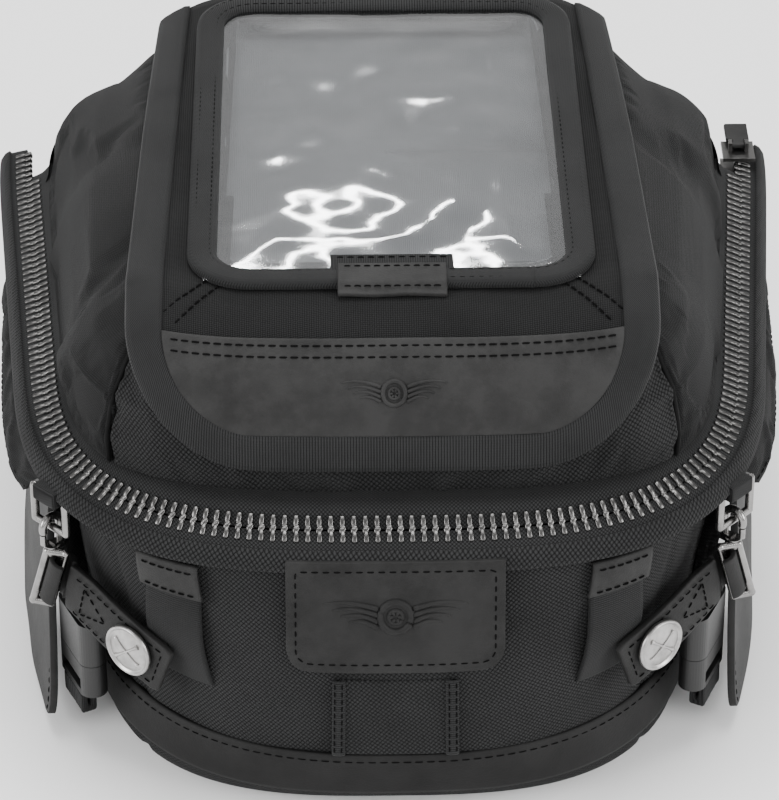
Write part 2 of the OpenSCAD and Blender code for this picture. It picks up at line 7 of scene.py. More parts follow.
import bmesh
import bpy
import numpy as np
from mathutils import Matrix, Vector, noise


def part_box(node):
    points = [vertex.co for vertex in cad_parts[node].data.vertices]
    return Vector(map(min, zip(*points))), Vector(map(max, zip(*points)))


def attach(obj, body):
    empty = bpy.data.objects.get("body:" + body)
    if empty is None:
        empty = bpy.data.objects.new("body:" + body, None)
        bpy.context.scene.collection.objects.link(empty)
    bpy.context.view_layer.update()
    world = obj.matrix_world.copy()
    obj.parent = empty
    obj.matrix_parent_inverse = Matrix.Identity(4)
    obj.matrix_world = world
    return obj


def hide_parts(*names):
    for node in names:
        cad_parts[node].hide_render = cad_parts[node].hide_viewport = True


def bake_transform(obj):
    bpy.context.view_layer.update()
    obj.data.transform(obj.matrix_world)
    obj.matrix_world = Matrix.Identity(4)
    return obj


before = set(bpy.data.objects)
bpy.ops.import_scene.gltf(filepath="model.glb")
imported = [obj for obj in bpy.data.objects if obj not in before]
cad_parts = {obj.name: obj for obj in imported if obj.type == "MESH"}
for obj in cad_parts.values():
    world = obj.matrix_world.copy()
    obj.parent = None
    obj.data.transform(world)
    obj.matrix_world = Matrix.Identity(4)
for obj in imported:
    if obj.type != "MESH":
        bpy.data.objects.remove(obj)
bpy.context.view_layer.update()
MM = 0.001


def box_mm(node):
    """Lowest and highest corner of a CAD node in millimetres."""
    return [np.array(corner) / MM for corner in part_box(node)]


# ---- outlines, as in the CAD source ----

TUB_HIGH = box_mm("tub_shell")[1]
CENTRE_Y = -27.0
RIM_Z = TUB_HIGH[2]
WIDENING = 0.095
HALF_WIDTH = 109.5
FRONT_REACH = 103.0
REAR_REACH = TUB_HIGH[1] - CENTRE_Y
ZIP_Z = RIM_Z + 4.6
LID_Z = box_mm("lid_walls")[0][2]
LID_TOP = box_mm("lid_walls")[1][2]
FLAP_Z = LID_TOP + 0.5
FLAP_T = 2.0
FLAP_HALF = box_mm("flap_panel")[1][0]
FLAP_CORNER = 38.0
BINDING_W = 10.0

# height, half width, widening, front reach, rear reach, front squareness
TUB_ROWS = np.array([
    [0, HALF_WIDTH - 13.5, WIDENING * 0.4, FRONT_REACH - 5, REAR_REACH - 4.2, 3.0],
    [8, HALF_WIDTH - 11.5, WIDENING * 0.5, FRONT_REACH + 1, REAR_REACH - 3.6, 2.7],
    [24, HALF_WIDTH - 10.5, WIDENING * 0.6, FRONT_REACH + 3, REAR_REACH - 3.3, 2.5],
    [45, HALF_WIDTH - 8.5, WIDENING * 0.75, FRONT_REACH + 4, REAR_REACH - 2.7, 2.6],
    [70, HALF_WIDTH - 5, WIDENING * 0.9, FRONT_REACH + 3.5, REAR_REACH - 1.6, 2.9],
    [RIM_Z, HALF_WIDTH + 0.5, WIDENING, FRONT_REACH, REAR_REACH, 3.4]])
ZIP_HALF = HALF_WIDTH + 1.5
LID_HALF = ZIP_HALF - 6
LID_REACH = FRONT_REACH - 21
LID_SHARES = np.array([[0, 0, 0, 3.7], [0.17, 0.6, 0, 3.7], [0.24, 1.6, 1.5, 3.7], [0.45, 5, 3.5, 3.7],
                       [0.69, 13, 9, 3.9], [0.85, 21, 16, 4.2], [0.96, 26.5, 26, 4.5], [1, 29, 34, 4.8]])
LID_ROWS = np.array([
    [LID_Z + s * (LID_TOP - LID_Z), LID_HALF - side, WIDENING * (1 - s), LID_REACH - front,
     REAR_REACH - 5 - 6 * s, n] for s, side, front, n in LID_SHARES])
ZIP_ROW = [ZIP_HALF, WIDENING, FRONT_REACH - 8, REAR_REACH + 15, 3.2]
REAR_N = 8.0
ZIP_REAR_N = 12.0
ZIP_REAR_Y = 108.0


def signed_pow(v, e):
    return np.sign(v) * np.abs(v) ** e


def row_at(rows, z):
    """The outline's numbers at a height, smoothly joined between the rows."""
    z = np.clip(z, rows[0, 0], rows[-1, 0])
    return [np.interp(z, rows[:, 0], rows[:, k]) for k in range(1, 6)]


def oval(row, t, z, out=0.0, rear_n=REAR_N):
    """Points of a squared-off oval at angles t in degrees."""
    half, widening, front, rear, n = row
    s, c = np.sin(np.radians(t)), np.cos(np.radians(t))
    e = 2 / np.where(s < 0, n, rear_n)
    y = np.where(s < 0, front + out, rear + out) * signed_pow(s, e)
    x = signed_pow(c, e) * (half + out + widening * y)
    return np.stack([x, CENTRE_Y + y, np.broadcast_to(z, np.shape(x))], -1)


def front_angle(rows, x, z):
    half, _, _, _, n = row_at(rows, z)
    return -90 + np.degrees(np.arcsin(signed_pow(x / half, n / 2)))


def on_front(rows, x, z, out=0.0):
    """A point on the front of the tub or lid, x from the middle and out from the surface."""
    return oval(row_at(rows, z), front_angle(rows, x, z), z, out)


def unit(v):
    """The same vectors at length 1."""
    return v / np.linalg.norm(v, axis=-1, keepdims=True)


def running(points):
    """Running length along a polyline."""
    steps = np.linalg.norm(np.diff(points, axis=0), axis=1)
    return np.concatenate([[0], np.cumsum(steps)])


def at_length(points, s):
    run = running(points)
    return np.stack([np.interp(s, run, points[:, k]) for k in range(points.shape[1])], -1)


def even(points, step):
    total = running(points)[-1]
    return at_length(points, np.linspace(0, total, max(2, int(round(total / step)) + 1)))


def smooth(points, step=1.0):
    """A Catmull-Rom curve through the points, at even steps."""
    p = np.vstack([2 * points[0] - points[1], points, 2 * points[-1] - points[-2]])
    out = []
    for i in range(1, len(p) - 2):
        for u in np.linspace(0, 1, 12, endpoint=False):
            a, b, c, d = p[i - 1:i + 3]
            out.append(0.5 * (2 * b + (c - a) * u + (2 * a - 5 * b + 4 * c - d) * u ** 2
                              + (3 * b - a - 3 * c + d) * u ** 3))
    out.append(p[-2])
    return even(np.array(out), step)


# ---- meshes ----

def make_object(name, verts, faces, material, uv=None):
    mesh = bpy.data.meshes.new(name)
    mesh.from_pydata([tuple(v) for v in np.asarray(verts) * MM], [], faces)
    mesh.materials.append(material)
    if uv is not None:
        layer = mesh.uv_layers.new(name="cloth")
        loops = np.array([loop.vertex_index for loop in mesh.loops])
        layer.data.foreach_set("uv", np.asarray(uv, float)[loops].ravel() * MM)
    mesh.shade_smooth()
    obj = bpy.data.objects.new(name, mesh)
    bpy.context.scene.collection.objects.link(obj)
    return obj


def grid_faces(rows, cols, wrap=False):
    last = cols if wrap else cols - 1
    return [(i * cols + j, i * cols + (j + 1) % cols, (i + 1) * cols + (j + 1) % cols, (i + 1) * cols + j)
            for i in range(rows - 1) for j in range(last)]


def grid(name, points, material, uv=None):
    """A sheet from rows x columns of points. Its UVs are lengths over the cloth unless given."""
    points = np.asarray(points, float)
    rows, cols = points.shape[:2]
    if uv is None:
        along = np.concatenate([np.zeros((rows, 1)),
                                np.cumsum(np.linalg.norm(np.diff(points, axis=1), axis=2), axis=1)], 1)
        middle = along[:, -1:] / 2
        up = np.concatenate([np.zeros((1, cols)),
                             np.cumsum(np.linalg.norm(np.diff(points, axis=0), axis=2), axis=0)], 0)
        uv = np.stack([along - middle, up], -1)
    return make_object(name, points.reshape(-1, 3), grid_faces(rows, cols), material,
                       np.asarray(uv).reshape(-1, 2))


def thicken(obj, thickness, offset=-1.0, bevel=0.0):
    solid = obj.modifiers.new("thickness", "SOLIDIFY")
    solid.thickness = thickness * MM
    solid.offset = offset
    solid.use_even_offset = True
    if bevel:
        edge = obj.modifiers.new("edge", "BEVEL")
        edge.width = bevel * MM
        edge.segments = 2
        edge.limit_method = "ANGLE"
        edge.angle_limit = math.radians(50)
    return obj


CLOTH_FRAMES = 20


def puffed(obj, reach=1.6):
    """Swells a padded sheet between its sewn edges by cloth simulation; no point moves further than reach."""
    mesh = obj.data
    rest = np.empty(len(mesh.vertices) * 3)
    mesh.vertices.foreach_get("co", rest)
    bm = bmesh.new()
    bm.from_mesh(mesh)
    sewn = [v.index for v in bm.verts if v.is_boundary]
    bm.free()
    obj.vertex_groups.new(name="sewn").add(sewn, 1.0, "REPLACE")
    cloth = obj.modifiers.new("cloth", "CLOTH")
    cloth.settings.quality = 6
    cloth.settings.vertex_group_mass = "sewn"
    cloth.settings.use_pressure = True
    cloth.settings.uniform_pressure_force = 4.0
    cloth.settings.shrink_min = -0.03
    cloth.settings.bending_stiffness = 0.4
    cloth.settings.effector_weights.gravity = 0.0
    cloth.collision_settings.use_collision = False
    for frame_number in range(1, CLOTH_FRAMES + 1):
        bpy.context.scene.frame_set(frame_number)
    swollen = obj.evaluated_get(bpy.context.evaluated_depsgraph_get()).data
    shift = np.empty(len(rest))
    swollen.vertices.foreach_get("co", shift)
    shift = (shift - rest).reshape(-1, 3)
    far = np.linalg.norm(shift, axis=1, keepdims=True)
    shift *= np.minimum(1.0, reach * MM / np.maximum(far, 1e-9))
    mesh.vertices.foreach_set("co", rest + shift.ravel())
    mesh.update()
    obj.modifiers.remove(cloth)
    bpy.context.scene.frame_set(1)
    return obj


def finish_piece(obj, body, slot, *nodes, padded=None):
    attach(obj, body)
    if nodes:
        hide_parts(*nodes)
    return obj


def sewn_sheet(name, rows, material, thickness, body, slot, *nodes, offset=-1.0, bevel=0.0, padded=None,
               uv=None):
    """A finished sheet from rows of points: meshed, thickened and given its body."""
    obj = thicken(grid(name, rows, material, uv=uv), thickness, offset, bevel)
    return finish_piece(obj, body, slot, *nodes, padded=padded)


def frames(path):
    """Tangent, outward and up directions along a path that runs left to right."""
    t = unit(np.gradient(path, axis=0))
    out = unit(np.cross(t, (0, 0, 1)))
    return t, out, np.cross(out, t)


def tube(path, radius, sides=10, close=True):
    """Vertices and faces of a round tube along a path."""
    t = unit(np.gradient(path, axis=0))
    a = unit(np.cross(t, (0.31, 0.17, 0.93)))
    b = np.cross(t, a)
    turn = np.linspace(0, 2 * np.pi, sides, endpoint=False)[None, :, None]
    radius = np.broadcast_to(radius, (len(path),))[:, None, None]
    verts = path[:, None] + radius * (np.cos(turn) * a[:, None] + np.sin(turn) * b[:, None])
    faces = grid_faces(len(path), sides, wrap=True)
    if close:
        n = len(path) * sides
        faces += [tuple(range(sides - 1, -1, -1)), tuple(range(n - sides, n))]
    return verts.reshape(-1, 3), faces


class Parts:
    """Collects many small shapes into one mesh."""

    def __init__(self):
        self.verts, self.faces, self.count = [], [], 0

    def add(self, verts, faces):
        self.verts.append(np.asarray(verts, float))
        self.faces += [tuple(k + self.count for k in f) for f in faces]
        self.count += len(verts)

    def build(self, name, material):
        return make_object(name, np.concatenate(self.verts), self.faces, material)


def capsule(length, radius, sides=6):
    """A short thread lying along x, as vertices and faces."""
    path = np.array([[-0.5, 0, -0.55], [-0.42, 0, -0.1], [-0.2, 0, 0.12], [0.2, 0, 0.12], [0.42, 0, -0.1],
                     [0.5, 0, -0.55]]) * [length, 1, radius * 2]
    return tube(path, radius * np.array([0.6, 0.95, 1, 1, 0.95, 0.6]), sides)


def stitches(parts, path, normals, pitch=3.0, length=2.2, radius=0.33, lift=0.0):
    """Threads laid along a path on a surface with the given normals, or one normal for all of it."""
    normals = np.broadcast_to(normals, path.shape)
    run = running(path)
    count = max(1, int(run[-1] / pitch))
    s = (np.arange(count) + 0.5) * run[-1] / count
    ahead = unit(at_length(path, np.minimum(s + 0.3, run[-1])) - at_length(path, np.maximum(s - 0.3, 0)))
    normal = np.stack([np.interp(s, run, normals[:, k]) for k in range(3)], -1)
    side = unit(np.cross(normal, ahead))
    verts, faces = capsule(length, radius)
    for c, a, b, n in zip(at_length(path, s), ahead, side, np.cross(ahead, side)):
        parts.add(c + n * lift + verts[:, :1] * a + verts[:, 1:2] * b + verts[:, 2:] * n, faces)


def seams(name, body, slot, lines, pitch=3.0, length=2.1, radius=0.24, lift=0.0):
    """One piece of sewing thread over several lines, each a path and its normals."""
    parts = Parts()
    for path, normals in lines:
        stitches(parts, path, normals, pitch, length, radius, lift)
    finish_piece(parts.build(name, THREAD), body, slot)


# ---- materials ----

class Nodes:
    """Short calls that build a material's node tree."""

    def __init__(self, name):
        self.material = bpy.data.materials.new(name)
        self.material.use_nodes = True
        self.tree = self.material.node_tree
        self.shader = self.tree.nodes["Principled BSDF"]

    def put(self, socket, value):
        if isinstance(value, bpy.types.NodeSocket):
            self.tree.links.new(value, socket)
        elif value is not None:
            socket.default_value = value

    def node(self, kind, **inputs):
        made = self.tree.nodes.new(kind)
        for key, value in inputs.items():
            self.put(made.inputs[key.replace("_", " ")], value)
        return made

    def math(self, operation, a, b=None):
        made = self.tree.nodes.new("ShaderNodeMath")
        made.operation = operation
        self.put(made.inputs[0], a)
        self.put(made.inputs[1], b)
        return made.outputs[0]

    def add(self, a, b):
        return self.math("ADD", a, b)

    def times(self, a, b):
        return self.math("MULTIPLY", a, b)

    def power(self, a, b):
        return self.math("POWER", a, b)

    def mix(self, factor, a, b):
        made = self.tree.nodes.new("ShaderNodeMix")
        made.data_type = "RGBA"
        self.put(made.inputs[0], factor)
        self.put(made.inputs[6], a)
        self.put(made.inputs[7], b)
        return made.outputs[2]

    def ramp(self, value, *stops):
        made = self.node("ShaderNodeValToRGB", Fac=value)
        while len(made.color_ramp.elements) < len(stops):
            made.color_ramp.elements.new(0.5)
        for element, (place, level) in zip(made.color_ramp.elements, stops):
            element.position = place
            element.color = (level, level, level, 1)
        return made.outputs[0]

    def noise(self, scale, detail=3.0, rough=0.5):
        made = self.node("ShaderNodeTexNoise", Scale=scale, Detail=detail, Roughness=rough,
                         Vector=self.object_point())
        return made.outputs[0]

    def object_point(self):
        return self.tree.nodes.new("ShaderNodeTexCoord").outputs["Object"]

    def cloth_uv(self, turn=0.0):
        """UV lengths in millimetres, turned by an angle."""
        uv = self.tree.nodes.new("ShaderNodeTexCoord").outputs["UV"]
        mapping = self.node("ShaderNodeMapping", Vector=uv)
        mapping.inputs["Rotation"].default_value = (0, 0, math.radians(turn))
        mapping.inputs["Scale"].default_value = (1000, 1000, 1000)
        parts = self.node("ShaderNodeSeparateXYZ", Vector=mapping.outputs[0])
        return parts.outputs[0], parts.outputs[1]

    def bump(self, height, distance, strength, below=None):
        made = self.node("ShaderNodeBump", Height=height, Distance=distance * MM, Strength=strength,
                         Normal=below)
        return made.outputs[0]

    def finish(self, **inputs):
        for key, value in inputs.items():
            self.put(self.shader.inputs[key.replace("_", " ")], value)
        return self.material


def grey(level, warm=0.0):
    return (level * (1 + warm), level, level * (1 - warm), 1)


def woven(name, level, pitch, depth, turn=0.0, rough=0.85, ratio=1.0, basket=True, crown_highlight=2.4):
    """Plain weave: threads over and under in squares of one pitch. Without basket, a ribbed cloth."""
    n = Nodes(name)
    u, v = n.cloth_uv(turn)
    u = n.math("DIVIDE", u, pitch)
    v = n.math("DIVIDE", v, pitch * ratio)
    across_u, across_v = (n.math("ABSOLUTE", n.math("SINE", n.times(k, math.pi))) for k in (u, v))

    def crown(width, length, power, share):
        """A thread's height: rounded across its width, and lower where it goes under."""
        dip = n.add(1 - share, n.times(length, share))
        return n.times(n.power(width, power), dip)

    if basket:
        cell = n.add(n.math("FLOOR", u), n.math("FLOOR", v))
        over = n.math("MODULO", n.math("ABSOLUTE", cell), 2.0)
        warp = n.times(over, crown(across_u, across_v, 0.6, 0.55))
        weft = n.times(crown(across_v, across_u, 0.6, 0.55), 0.9)
        height = n.add(warp, n.times(n.math("SUBTRACT", 1.0, over), weft))
    else:
        height = crown(across_v, across_u, 0.7, 0.2)
    height = n.add(height, n.times(n.noise(2600, 2.0), 0.25))
    wear = n.ramp(n.noise(38, 4.0, 0.6), (0.3, 0.78), (0.7, 1.22))
    # painted shade and highlight: the colour follows the threads' height, darkest in the gaps where they dip
    # under and lightest on their crowns
    tone = n.times(n.ramp(height, (0.35, 0.0), (1.15, 1.0)), wear)
    colour = n.mix(tone, grey(level * 0.3, -0.015), grey(level * crown_highlight, -0.015))
    return n.finish(Base_Color=colour, Roughness=rough, Normal=n.bump(height, depth, 0.9),
                    Sheen_Weight=0.03, Sheen_Roughness=0.45, Specular_IOR_Level=0.1)


def waxed_leather(name, level):
    n = Nodes(name)
    cloud = n.noise(55, 6.0, 0.62)
    scuff = n.noise(210, 5.0, 0.7)
    creases = n.node("ShaderNodeTexVoronoi", Scale=900.0, Vector=n.object_point())
    creases.feature = "DISTANCE_TO_EDGE"
    pores = n.ramp(creases.outputs["Distance"], (0.0, 0.0), (0.12, 1.0))
    tone = n.add(n.times(n.ramp(cloud, (0.32, 0.55), (0.7, 1.35)), 0.8),
                 n.times(n.ramp(scuff, (0.45, 0.0), (0.75, 1.0)), 0.35))
    colour = n.mix(tone, (0, 0, 0, 1), grey(level, 0.01))
    height = n.add(n.times(pores, 0.5), n.times(n.noise(420, 4.0, 0.6), 0.9))
    normal = n.bump(height, 0.12, 0.55, n.bump(cloud, 0.5, 0.25))
    roughness = n.add(0.52, n.times(scuff, 0.2))
    return n.finish(Base_Color=colour, Roughness=roughness, Normal=normal, Specular_IOR_Level=0.18)


def metal(name, level, rough, wear):
    n = Nodes(name)
    spots = n.noise(160, 5.0, 0.6)
    tone = n.math("SUBTRACT", 1.0, n.times(n.ramp(spots, (0.4, 0.0), (0.75, 1.0)), wear))
    colour = n.mix(tone, (0.02, 0.02, 0.02, 1), grey(level, 0.02))
    roughness = n.add(rough, n.times(spots, 0.12))
    return n.finish(Base_Color=colour, Metallic=1.0, Roughness=roughness,
                    Normal=n.bump(n.noise(900, 3.0), 0.03, 0.4))


def plastic(name, level):
    n = Nodes(name)
    grain = n.noise(1500, 3.0)
    return n.finish(Base_Color=n.mix(n.noise(60, 3.0), grey(level * 0.8), grey(level * 1.3)),
                    Roughness=n.add(0.36, n.times(grain, 0.12)), Normal=n.bump(grain, 0.04, 0.4))


def thread(name, level):
    n = Nodes(name)
    twist = n.noise(1400, 2.0)
    return n.finish(Base_Color=n.mix(twist, grey(level * 0.6), grey(level * 1.6)), Roughness=0.9,
                    Specular_IOR_Level=0.05, Normal=n.bump(twist, 0.1, 0.6))


def clear_vinyl(name):
    n = Nodes(name)
    ripple = n.bump(n.noise(60, 2.0), 0.35, 0.5)
    glassy = n.node("ShaderNodeBsdfGlossy", Roughness=0.07, Color=(1, 1, 1, 1), Normal=ripple)
    clear = n.node("ShaderNodeBsdfTransparent", Color=(0.93, 0.94, 0.95, 1))
    facing = n.node("ShaderNodeLayerWeight", Blend=0.5, Normal=ripple).outputs["Facing"]
    mix = n.tree.nodes.new("ShaderNodeMixShader")
    share = n.add(n.times(n.power(facing, 3.5), 0.8), 0.06)
    for socket, value in zip(mix.inputs, (share, clear.outputs[0], glassy.outputs[0])):
        n.put(socket, value)
    n.tree.nodes.remove(n.shader)
    n.put(n.tree.nodes["Material Output"].inputs["Surface"], mix.outputs[0])
    return n.material


BALLISTIC = woven("ballistic_cloth", 0.0055, 1.15, 0.42, turn=38, crown_highlight=4.2)
RIBBED = woven("ribbed_cloth", 0.0055, 0.75, 0.16)
PLAIN = woven("fine_cloth", 0.0055, 0.7, 0.14)
WEBBING = woven("webbing_cloth", 0.007, 0.9, 0.2, turn=90, basket=False, ratio=0.8, rough=0.7)
BINDING = woven("binding_cloth", 0.008, 0.8, 0.16, turn=90, basket=False, ratio=1.1, rough=0.72)
TAPE = woven("tape_cloth", 0.010, 0.9, 0.18, turn=45)
# lining cloth: a grey cloth, made lighter to paint in the haze that the clear vinyl over the phone pocket
# reflects
LINING = woven("lining_cloth", 0.1, 0.6, 0.06, rough=0.6, crown_highlight=1.5)
LEATHER = waxed_leather("waxed_leather", 0.020)
DARK_LEATHER = waxed_leather("dark_leather", 0.0145)
BAND_LEATHER = waxed_leather("band_leather", 0.0095)
THREAD = thread("sewing_thread", 0.0028)
TEETH = metal("antique_nickel", 0.12, 0.24, 0.6)
NICKEL = metal("bright_nickel", 0.27, 0.2, 0.45)
CAP = metal("cap_nickel", 0.42, 0.3, 0.5)
PLASTIC = plastic("moulded_plastic", 0.004)
VINYL = clear_vinyl("clear_vinyl")

# ---- camera, light and stage ----

TARGET = Vector((0.0, -27.0, 85.0)) * MM
VIEW_UP = math.radians(33.5)
VIEW_SIDE = math.radians(-1.0)
DISTANCE = 1350 * MM
back = Vector((math.sin(VIEW_SIDE) * math.cos(VIEW_UP), -math.cos(VIEW_SIDE) * math.cos(VIEW_UP),
               math.sin(VIEW_UP)))
cam_data = bpy.data.cameras.new("camera")
cam_data.sensor_width = 36
cam_data.lens = 188.3
camera = bpy.data.objects.new("camera", cam_data)
camera.location = TARGET + back * DISTANCE
camera.rotation_euler = back.to_track_quat("Z", "Y").to_euler()
bpy.context.scene.collection.objects.link(camera)
bpy.context.scene.camera = camera


def area_light(name, place, aim, size, power, size_y=None):
    data = bpy.data.lights.new(name, "AREA")
    data.energy = power
    data.shape = "RECTANGLE"
    data.size = size
    data.size_y = size_y or size
    lamp = bpy.data.objects.new(name, data)
    lamp.location = place
    lamp.rotation_euler = (Vector(place) - Vector(aim)).to_track_quat("Z", "Y").to_euler()
    bpy.context.scene.collection.objects.link(lamp)


area_light("top_softbox", (0, 0.25, 1.6), (0, 0, 0.1), 1.3, 30, 0.8)
area_light("left_softbox", (-1.4, -0.7, 0.7), (0, 0, 0.08), 0.9, 26)
area_light("right_softbox", (1.4, -0.7, 0.7), (0, 0, 0.08), 0.9, 26)
area_light("front_fill", (0, -1.9, 0.9), (0, 0, 0.06), 1.4, 9, 0.8)
area_light("rear_strip", (-0.1, 1.25, 1.12), (0, 0, 0.1), 0.5, 4, 0.05)

world = bpy.data.worlds.new("studio")
world.use_nodes = True
world.node_tree.nodes["Background"].inputs[0].default_value = (1, 1, 1, 1)
world.node_tree.nodes["Background"].inputs[1].default_value = 0.8
bpy.context.scene.world = world

floor_mesh = bpy.data.meshes.new("floor")
floor_mesh.from_pydata([(6 * x, 6 * y, -0.0005) for x, y in ((-1, -1), (1, -1), (1, 1), (-1, 1))], [],
                       [(0, 1, 2, 3)])
floor = bpy.data.objects.new("floor", floor_mesh)
bpy.context.scene.collection.objects.link(floor)
paper = Nodes("paper")
floor_mesh.materials.append(paper.finish(Base_Color=(0.9, 0.9, 0.9, 1), Roughness=0.9))

# ---- lower body ----

def crumple(points, amount, scale, seed=0.0):
    """Soft dents in cloth: a signed height for each point, in millimetres."""
    flat = np.asarray(points).reshape(-1, 3)
    values = [noise.noise(Vector(p) / scale + Vector((seed, 2 * seed, -seed))) for p in flat]
    return amount * np.array(values).reshape(np.shape(points)[:-1])


def oval_sheet(rows, heights, angles, bulge=0.0, dent=0.8, seed=0.0, pulled=(), inset=0.0):
    """Points of a wall round the oval: one row per height, with dents.

    Each seam that is pulled in has its angle, width and depth.
    """
    points = []
    for z in heights:
        share = (z - heights[0]) / (heights[-1] - heights[0])
        base = oval(row_at(rows, z), angles, z)
        middle = math.sin(math.pi * share)
        out = bulge * middle + crumple(base, dent, 34, seed) * middle ** 0.5
        for at, width, depth in pulled:
            out = out - depth * np.exp(-(np.abs(angles - at) / width) ** 2)
        nudged = oval(row_at(rows, z), angles, z, 1.0) - base
        points.append(base + nudged * (out - inset)[..., None])
    return np.array(points)


SEAM_T = 52.0
WALL = 3.0


def build_tub():
    heights = np.concatenate([np.linspace(0, 8, 7), np.linspace(11, RIM_Z, 44)])
    angles = np.linspace(90, 450, 321)
    points = oval_sheet(TUB_ROWS, heights, angles, bulge=0.8, dent=1.5, seed=3.1,
                        pulled=((270 - SEAM_T, 1.6, 0.9), (270 + SEAM_T, 1.6, 0.9), (140, 1.5, 0.8),
                                (400, 1.5, 0.8)))
    points[:2, :, :2] *= np.array([0.992, 0.996])[:, None, None]
    sewn_sheet("tub_cloth", points, BALLISTIC, WALL, "bag", "ballistic_fabric", "tub_shell", padded=0.3)


def build_band():
    angles = np.linspace(-160, -20, 141)
    rows = []
    for z, out in ((7.5, 0.6), (8.0, 1.7), (9.5, 2.2), (13, 2.4), (17, 2.4), (21, 2.3), (23.2, 2.1),
                   (24.2, 1.6), (24.4, 0.6)):
        base = oval(row_at(TUB_ROWS, z), angles, z)
        nudged = oval(row_at(TUB_ROWS, z), angles, z, 1.0) - base
        rows.append(base + nudged * (out + crumple(base, 0.25, 18, 5)[:, None]))
    sewn_sheet("foot_band", rows, BAND_LEATHER, 0.5, "bag", "leather", "lower_band")
    seam_z = 21.9
    path = even(oval(row_at(TUB_ROWS, seam_z), angles, seam_z, 2.35), 1.5)
    seams("foot_band_stitches", "bag", "leather", [(path, frames(path)[1])], 3.6, 2.4, 0.2, -0.05)


def front_line(places, out):
    """A path over places (x, z) on the front wall, and its normals."""
    path = np.array([on_front(TUB_ROWS, x, z, out) for x, z in places])
    return path, np.array([on_front(TUB_ROWS, x, z, out + 1) for x, z in places]) - path


def front_sheet(name, half, low, high, out, corner, material, thickness):
    """A flat piece sewn on the front wall, with rounded lower corners."""
    step = 1.5
    xs = np.linspace(-half, half, int(2 * half / step) + 1)
    edge = np.clip(corner - (half - np.abs(xs)), 0, None)
    lift = corner - np.sqrt(np.clip(corner ** 2 - edge ** 2, 0, None))
    rows = [[on_front(TUB_ROWS, x, low + up + (high - low - up) * k, out) for x, up in zip(xs, lift)]
            for k in np.linspace(0, 1, int((high - low) / step) + 1)]
    return thicken(grid(name, rows, material), thickness, -1.0, 0.5)


def rounded_loop(half, low, high, corner, inset, top_corner=1.5, step=1.0):
    """A closed outline with rounded corners in (x, z), set in from the edge."""
    half, low, high = half - inset, low + inset, high - inset
    corner = max(corner - inset, 0.5)
    side, top_side, top = half - corner, half - top_corner, high - top_corner
    points = []
    for cx, cz, r, start in ((side, low + corner, corner, -90), (top_side, top, top_corner, 0),
                             (-top_side, top, top_corner, 90), (-side, low + corner, corner, 180)):
        for a in np.radians(np.linspace(start, start + 90, 9)):
            points.append([cx + r * math.cos(a), cz + r * math.sin(a)])
    points.append(points[0])
    return even(np.array(points), step)


def emblem(name, body, material, place, size):
    """A plain pressed wing and wheel device: rings and feather bars, no letters."""
    parts = Parts()
    turn = np.linspace(0, 2 * np.pi, 41)
    for r, width in ((0.36, 0.085), (0.17, 0.05)):
        path = np.array([place(size * r * math.cos(a), size * r * math.sin(a)) for a in turn])
        parts.add(*tube(path, width * size, 6, close=False))
    for a in np.radians(np.arange(0, 360, 60)):
        path = np.array([place(r * math.cos(a) * size, r * math.sin(a) * size) for r in (0.05, 0.12, 0.19)])
        parts.add(*tube(path, 0.045 * size, 6))
    s = np.linspace(0, 1, 9)
    for side in (-1, 1):
        for k in range(4):
            length, rise = 1.25 - 0.2 * k, 0.2 - 0.15 * k
            feather = [(side * (0.42 + u * length), rise + 0.16 * math.sin(u * 2.4)) for u in s]
            path = np.array([place(size * across, size * up) for across, up in feather])
            parts.add(*tube(path, 0.075 * size * (1 - 0.6 * s), 6))
    finish_piece(parts.build(name, material), body, "leather")


PATCH_LOW, PATCH_HIGH = 57.6, RIM_Z + 0.1
PATCH_HALF = 35.5


def build_patch():
    patch = front_sheet("front_patch_leather", PATCH_HALF, PATCH_LOW, PATCH_HIGH, 2.9, 8, DARK_LEATHER, 2.2)
    finish_piece(patch, "bag", "leather", "front_patch")
    border = front_line(rounded_loop(PATCH_HALF, PATCH_LOW, PATCH_HIGH, 8, 3.2), 2.95)
    seams("front_patch_stitches", "bag", "leather", [border], 3.3, 2.0, 0.28, -0.08)
    middle = (PATCH_LOW + PATCH_HIGH) / 2 + 1
    emblem("front_patch_emblem", "bag", DARK_LEATHER,
           lambda x, z: on_front(TUB_ROWS, x, middle + z, 2.72), 14)


def build_center_panel():
    low, high, half = 24.6, 54.0, 18.5
    panel = front_sheet("center_panel_cloth", half, low, high, 1.6, 0.1, BALLISTIC, 1.2)
    finish_piece(panel, "bag", "webbing", "center_panel")
    for side, name in ((-1, "left"), (1, "right")):
        x = side * half
        rows = [[on_front(TUB_ROWS, x + dx, z, out) for z in np.linspace(low, high, 24)]
                for dx, out in ((-2.3, 1.2), (-2.0, 2.2), (-0.9, 2.6), (0.9, 2.6), (2.0, 2.2), (2.3, 1.2))]
        sewn_sheet("center_seam_tape_" + name, rows, BINDING, 0.6, "bag", "webbing", offset=1)
        lines = [front_line([(x + dx, z) for z in np.linspace(25.5, 53.5, 30)], 2.62) for dx in (-1.2, 1.2)]
        seams("center_seam_stitches_" + name, "bag", "webbing", lines, 2.6, 1.8)


# ---- zip ----

END_T = math.degrees(math.asin(((ZIP_REAR_Y - CENTRE_Y) / ZIP_ROW[3]) ** (ZIP_REAR_N / 2)))
ZIP_PATH = even(oval(ZIP_ROW, np.linspace(-180 - END_T, END_T, 1200), ZIP_Z, rear_n=ZIP_REAR_N), 1.0)
ZIP_LENGTH = running(ZIP_PATH)[-1]
TOOTH_PITCH = 3.5


def front_share(out):
    """0 on the bag's sides to 1 at its front, from the direction that points out."""
    return np.clip(-out[..., 1], 0, 1) ** 1.5


def zip_slope(out):
    """Fall of the zip across its width: it lies nearly flat at the sides and faces out at the front."""
    return 0.32 + 0.5 * front_share(out)


